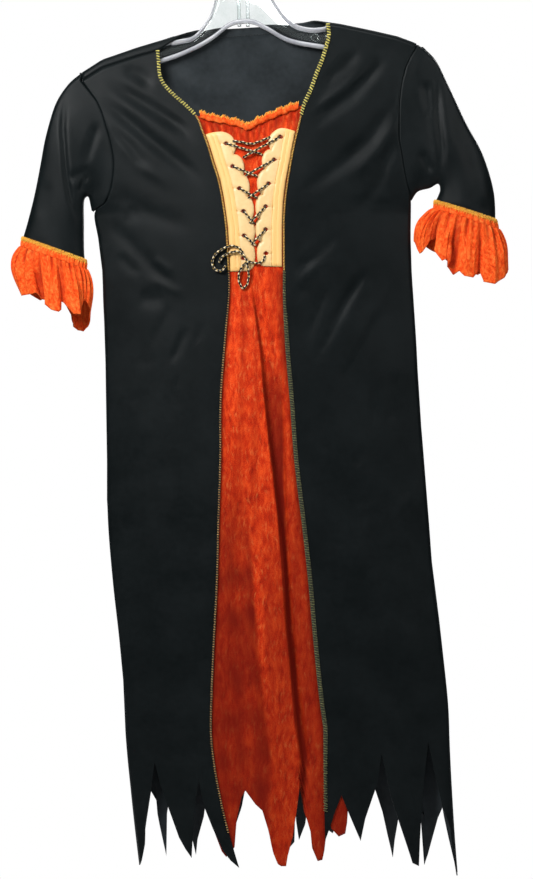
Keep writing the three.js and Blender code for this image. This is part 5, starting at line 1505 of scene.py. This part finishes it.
def cuff_band(side, table):
    """The narrow gathered band, overlocked to the sleeve"""
    turns = np.linspace(0, 2 * np.pi, BAND_COLUMNS, endpoint=False)
    rings = []
    for share in np.linspace(0, 1, BAND_ROWS):
        x, z, depth = cuff_ring(table, share * BAND_END, turns)
        rings.append(np.stack([x, -np.sin(turns) * depth, z], axis=1))
    points = np.array(rings)
    normals = grid_normals(points, "round", True)
    share = np.linspace(0, 1, BAND_ROWS)[:, None]
    puckers = cuff_gathers(turns)
    bulge = 1.1 * np.sin(np.pi * share) * (0.75 + 0.5 * puckers) + 0.35 * puckers * share
    points = points + normals * bulge[..., None]
    piece = cloth(f"gathered_band_{side}", points, RUFFLE_VELVET, "round", closed=True)
    seams = []
    for row, lift in ((0, 1.15), (4, 0.25)):
        line = np.concatenate([points[row], points[row][:1]])
        facing = np.concatenate([normals[row], normals[row][:1]])
        seams.append((line + facing * lift, facing))
    serging = sew(f"band_serging_{side}", seams[:1], YELLOW_SERGING, 1.7, 4.2, 0.6, rise=0.5, lean=1.2,
                  jitter=0.3, seed=5)
    gathers = sew(f"band_gathering_{side}", seams[1:], YELLOW_SERGING, 3.1, 2.4, 0.28, rise=0.3, lean=1.45,
                  jitter=0.35, seed=9)
    return piece, serging, gathers


def ruffle(side, table, front_hem, back_hem, bulge_out, bulge_in):
    """The ragged ruffle: gathers at its band, tabs that stand before and behind each other at its hem"""
    half = np.unique(np.concatenate([np.linspace(0, np.pi, 161)] + [
        np.arccos(1 - 2 * np.array([row[0] for row in hem])) for hem in (front_hem, back_hem)]))
    turns = np.concatenate([half, 2 * np.pi - half[-2:0:-1]])
    across = (1 - np.cos(turns)) / 2
    ahead = turns <= np.pi + 1e-9
    hem = [np.where(ahead, front, behind)
           for front, behind in zip(read(front_hem, across), read(back_hem, across))]
    top_x, top_z, top_depth = cuff_ring(table, RUFFLE_START, turns)
    down = np.linspace(0, 1, RUFFLE_ROWS)[:, None]
    x = mix(top_x, hem[0], down)
    z = mix(top_z, hem[1], down)
    belly = np.sin(np.pi * down ** 0.8)
    x = x + belly * (bulge_out * (1 - across) ** 6 + bulge_in * across ** 6)
    depth = mix(top_depth, table[-1][4] * 0.9, smooth(0, 1, down))
    points = np.stack([x, -np.sin(turns) * depth, z], axis=2)
    normals = grid_normals(points, "round", True)
    gathers = cuff_gathers(turns) + 0.5 * np.sin(41 * turns + 2 * np.sin(3 * turns))
    small = 1.1 * gathers * (1 - 0.7 * smooth(0.15, 0.8, down))
    stand = 1.35 * hem[2] * smooth(0.02, 0.6, down)
    soft = 0.7 * unevenness(x, z, 61, 20)
    points = points + normals * (small + stand + soft * smooth(0, 0.2, down))[..., None]
    tuck_x, tuck_z, tuck_depth = cuff_ring(table, BAND_END - 0.05, turns)
    tuck = np.stack([tuck_x, -np.sin(turns) * tuck_depth, tuck_z], axis=1) - 1.7 * normals[0]
    points = np.concatenate([tuck[None], points])
    piece = cloth(f"ragged_ruffle_{side}", points, RUFFLE_VELVET, "round", closed=True)
    # painted shade: the velvet darker in the valleys of the gathers and tabs, with some random tone; the
    # inner wall darkened by a fixed 0.3
    painted_valley_shade = np.clip(0.06 - 0.14 * stand - 0.5 * small + 0.12 * unevenness(x, z, 62, 9), 0, 0.85)
    painted_valley_shade = np.concatenate([painted_valley_shade[:1], painted_valley_shade])
    mark_points(piece, "painted_shade_and_tone", np.concatenate([painted_valley_shade.ravel(), np.full(painted_valley_shade.size, 0.3)]))
    return piece


bands = {"left": cuff_band("left", LEFT_CUFF), "right": cuff_band("right", RIGHT_CUFF)}
ruffles = {
    "left": ruffle("left", LEFT_CUFF, LEFT_RUFFLE_FRONT, LEFT_RUFFLE_BACK, -8.5, 4.0),
    "right": ruffle("right", RIGHT_CUFF, RIGHT_RUFFLE_FRONT, RIGHT_RUFFLE_BACK, 4.0, -8.0),
}


# The hanger: flanges and web, hook, two ribs and a small plain moulded ring
def hanger_arms():
    neck_x = np.array([row[0] for row in NECK])
    smooth_neck = along(NECK, np.linspace(0, 1, 200))
    smooth_arm = along(HANGER_ARM, np.linspace(0, 1, 300))
    rings = []
    for x in np.arange(ARM_LEFT, ARM_RIGHT - 1.9, 2.0):
        between = neck_x[0] < x < neck_x[-1]
        top = np.interp(x, smooth_neck[:, 0], smooth_neck[:, 1]) if between else ridge(x) - RIM_CLEARANCE
        bottom = np.interp(x, smooth_arm[:, 0], smooth_arm[:, 1])
        end = min(smooth(ARM_LEFT, ARM_LEFT + ARM_TAPER, x), smooth(ARM_RIGHT, ARM_RIGHT - ARM_TAPER, x))
        half = mix(2.4, 4.0, end)
        height = min(4.0, (top - bottom) * 0.3)
        side = [(0, top), (half * 0.6, top - 0.12 * height), (half * 0.92, top - 0.45 * height),
                (half, top - 0.75 * height), (half * 0.8, top - 0.98 * height),
                (WEB_HALF + 0.5, top - 1.1 * height), (WEB_HALF, top - 1.3 * height),
                (WEB_HALF, bottom + 1.25 * height), (WEB_HALF + 0.5, bottom + 1.05 * height),
                (half * 0.8, bottom + 0.95 * height), (half, bottom + 0.7 * height),
                (half * 0.9, bottom + 0.25 * height), (half * 0.5, bottom)]
        ring = side + [(-y, z) for y, z in side[:0:-1]]
        rings.append([(x, y, z) for y, z in ring])
    # painted highlight lines round each flange: 1 where a bright line is painted, 0 on the web
    lines = [0.5, 1, 0.2, 0.2, 1, 0.5, 0, 0, 0.5, 1, 0.2, 0.2, 1]
    return np.array(rings), np.tile(lines + lines[:0:-1], len(rings))


def hanger():
    bend = HOOK_INNER_RADIUS + HOOK_ROD / 2
    angles = np.radians(np.linspace(190, -50, 60))
    arc = np.stack([bend * np.cos(angles), 0 * angles, -HOOK_INNER_RADIUS + bend * np.sin(angles)], axis=1)
    line = smooth_line(np.concatenate([arc[::6], [(12, 0, -47), (5, 0, -62)]]), 1.5)
    radii = np.full(len(line), HOOK_ROD / 2)
    radii[:3] = HOOK_ROD / 2 * np.array([0.45, 0.8, 0.95])
    arms, painted_highlight_lines = hanger_arms()
    parts = [solid_of_rings(arms), solid_of_rings(rings_along(line, radii[:, None], 20))]
    for x in RIB_PLACES:
        rib = np.array([(x - 1.2 + 0.15 * (x - 8.6), 0, -60), (x, 0, -113)])
        parts.append(solid_of_rings(rings_along(even_line(rib, 4.0), RIB_RADIUS, 12)))
    centre_x, centre_y, centre_z = RING_CENTRE
    wire = 2 * np.pi * np.arange(8) / 8
    ring = np.array([[(centre_x + (RING_RADIUS + RING_WIRE * np.cos(w)) * np.cos(turn),
                       centre_y + RING_WIRE * np.sin(w),
                       centre_z + (RING_RADIUS + RING_WIRE * np.cos(w)) * np.sin(turn)) for w in wire]
                     for turn in np.linspace(0, 2 * np.pi, 28, endpoint=False)])
    parts.append(solid_of_rings(ring, looped=True))
    points, faces = join_solids(parts)
    # flange faces near the neck take the rim material with its painted highlight lines
    proud = np.array([max(face) < len(painted_highlight_lines) and np.abs(points[face, 1]).mean() > WEB_HALF + 0.2
                      and NECK_ENDS[0] - 12 < points[face, 0].mean() < NECK_ENDS[1] + 12 for face in faces])
    piece = make_piece("hanger_moulding", points, faces, CLEAR_PLASTIC, None, PLASTIC_RIM_PAINTED_HIGHLIGHTS, proud)
    mark_points(piece, "painted_highlight_line", np.concatenate([painted_highlight_lines, np.zeros(len(points) - len(painted_highlight_lines))]))
    return piece


hanger_piece = hanger()


# What each piece rides on and stands for.
place_piece(hanger_piece, "clear_plastic", "hanger")
for piece, node in ((back, "back"), (front_left, "front_left"), (front_right, "front_right"),
                    (sleeves["left"], "sleeve_left"), (sleeves["right"], "sleeve_right")):
    place_piece(piece, "black_knit", node)
place_piece(velvet, "crushed_velvet", "velvet_front")
place_piece(heading, "yellow_serging", "velvet_heading")
place_piece(heading_stitches, "yellow_serging")
place_piece(neck_stitches, "black_knit")
for side, (tape, *bars) in edges.items():
    place_piece(tape, "gold_serging", f"edging_{side}")
    for bar in bars:
        place_piece(bar, "gold_serging")
for side in ("left", "right"):
    satin, stitches, bindings = panels[side]
    place_piece(satin, "cream_satin", f"lacing_panel_{side}")
    place_piece(stitches, "cream_satin")
    place_piece(bindings, "crushed_velvet")
    band, serging, gathers = bands[side]
    place_piece(band, "yellow_serging", f"cuff_band_{side}")
    place_piece(serging, "yellow_serging")
    place_piece(gathers, "yellow_serging")
    place_piece(ruffles[side], "cuff_velvet", f"cuff_ruffle_{side}")

for side in ("left", "right"):
    satin, stitches, bindings = panels[side]
    band, serging, gathers = bands[side]


# Stage: a pale floor under the hanging costume, soft lights and a white surround
FLOOR_HALF, FLOOR_Z = 1500.0, -1250.0
floor_points = [(x * FLOOR_HALF, y * FLOOR_HALF, FLOOR_Z) for x, y in ((-1, -1), (1, -1), (1, 1), (-1, 1))]
floor = make_piece("floor", floor_points, [[0, 1, 2, 3]], stage_material())


def soft_light(name, place, aim, size, power):
    data = bpy.data.lights.new(name, "AREA")
    data.shape, data.size, data.energy = "DISK", size, power
    light = bpy.data.objects.new(name, data)
    light.location = place
    direction = np.array(aim, float) - np.array(place, float)
    yaw = math.atan2(direction[1], direction[0]) - math.pi / 2
    pitch = math.atan2(direction[2], math.hypot(direction[0], direction[1])) + math.pi / 2
    light.rotation_euler = (pitch, 0, yaw)
    bpy.context.scene.collection.objects.link(light)


soft_light("key", (-0.62, -1.05, 0.30), (0.03, 0, -0.3), 0.55, 22)
soft_light("fill", (1.25, -1.3, 0.35), (0.03, 0, -0.35), 0.9, 12)
soft_light("top", (0.1, -0.1, 1.0), (0.03, 0, -0.3), 0.8, 8)
soft_light("behind", (0.6, 2.0, 0.4), (0.03, 0, -0.4), 1.3, 22)


def white_surround():
    """Seen white, and as a softer glow on the cloth"""
    world = bpy.data.worlds.new("surround")
    world.use_nodes = True
    tree = world.node_tree
    tree.nodes.clear()
    path = tree.nodes.new("ShaderNodeLightPath").outputs
    seen = maths(tree, "MAXIMUM", path["Is Camera Ray"], path["Is Transmission Ray"])
    glow = put(tree, "ShaderNodeBackground", {"Color": (0.93, 0.96, 1.0, 1), "Strength": 0.08}).outputs[0]
    white = put(tree, "ShaderNodeBackground", {"Color": (1, 1, 1, 1), "Strength": 1.0}).outputs[0]
    both = put(tree, "ShaderNodeMixShader", {0: seen, 1: glow, 2: white}).outputs[0]
    put(tree, "ShaderNodeOutputWorld", {"Surface": both})
    bpy.context.scene.world = world


white_surround()
bpy.context.scene.view_settings.view_transform = "Standard"
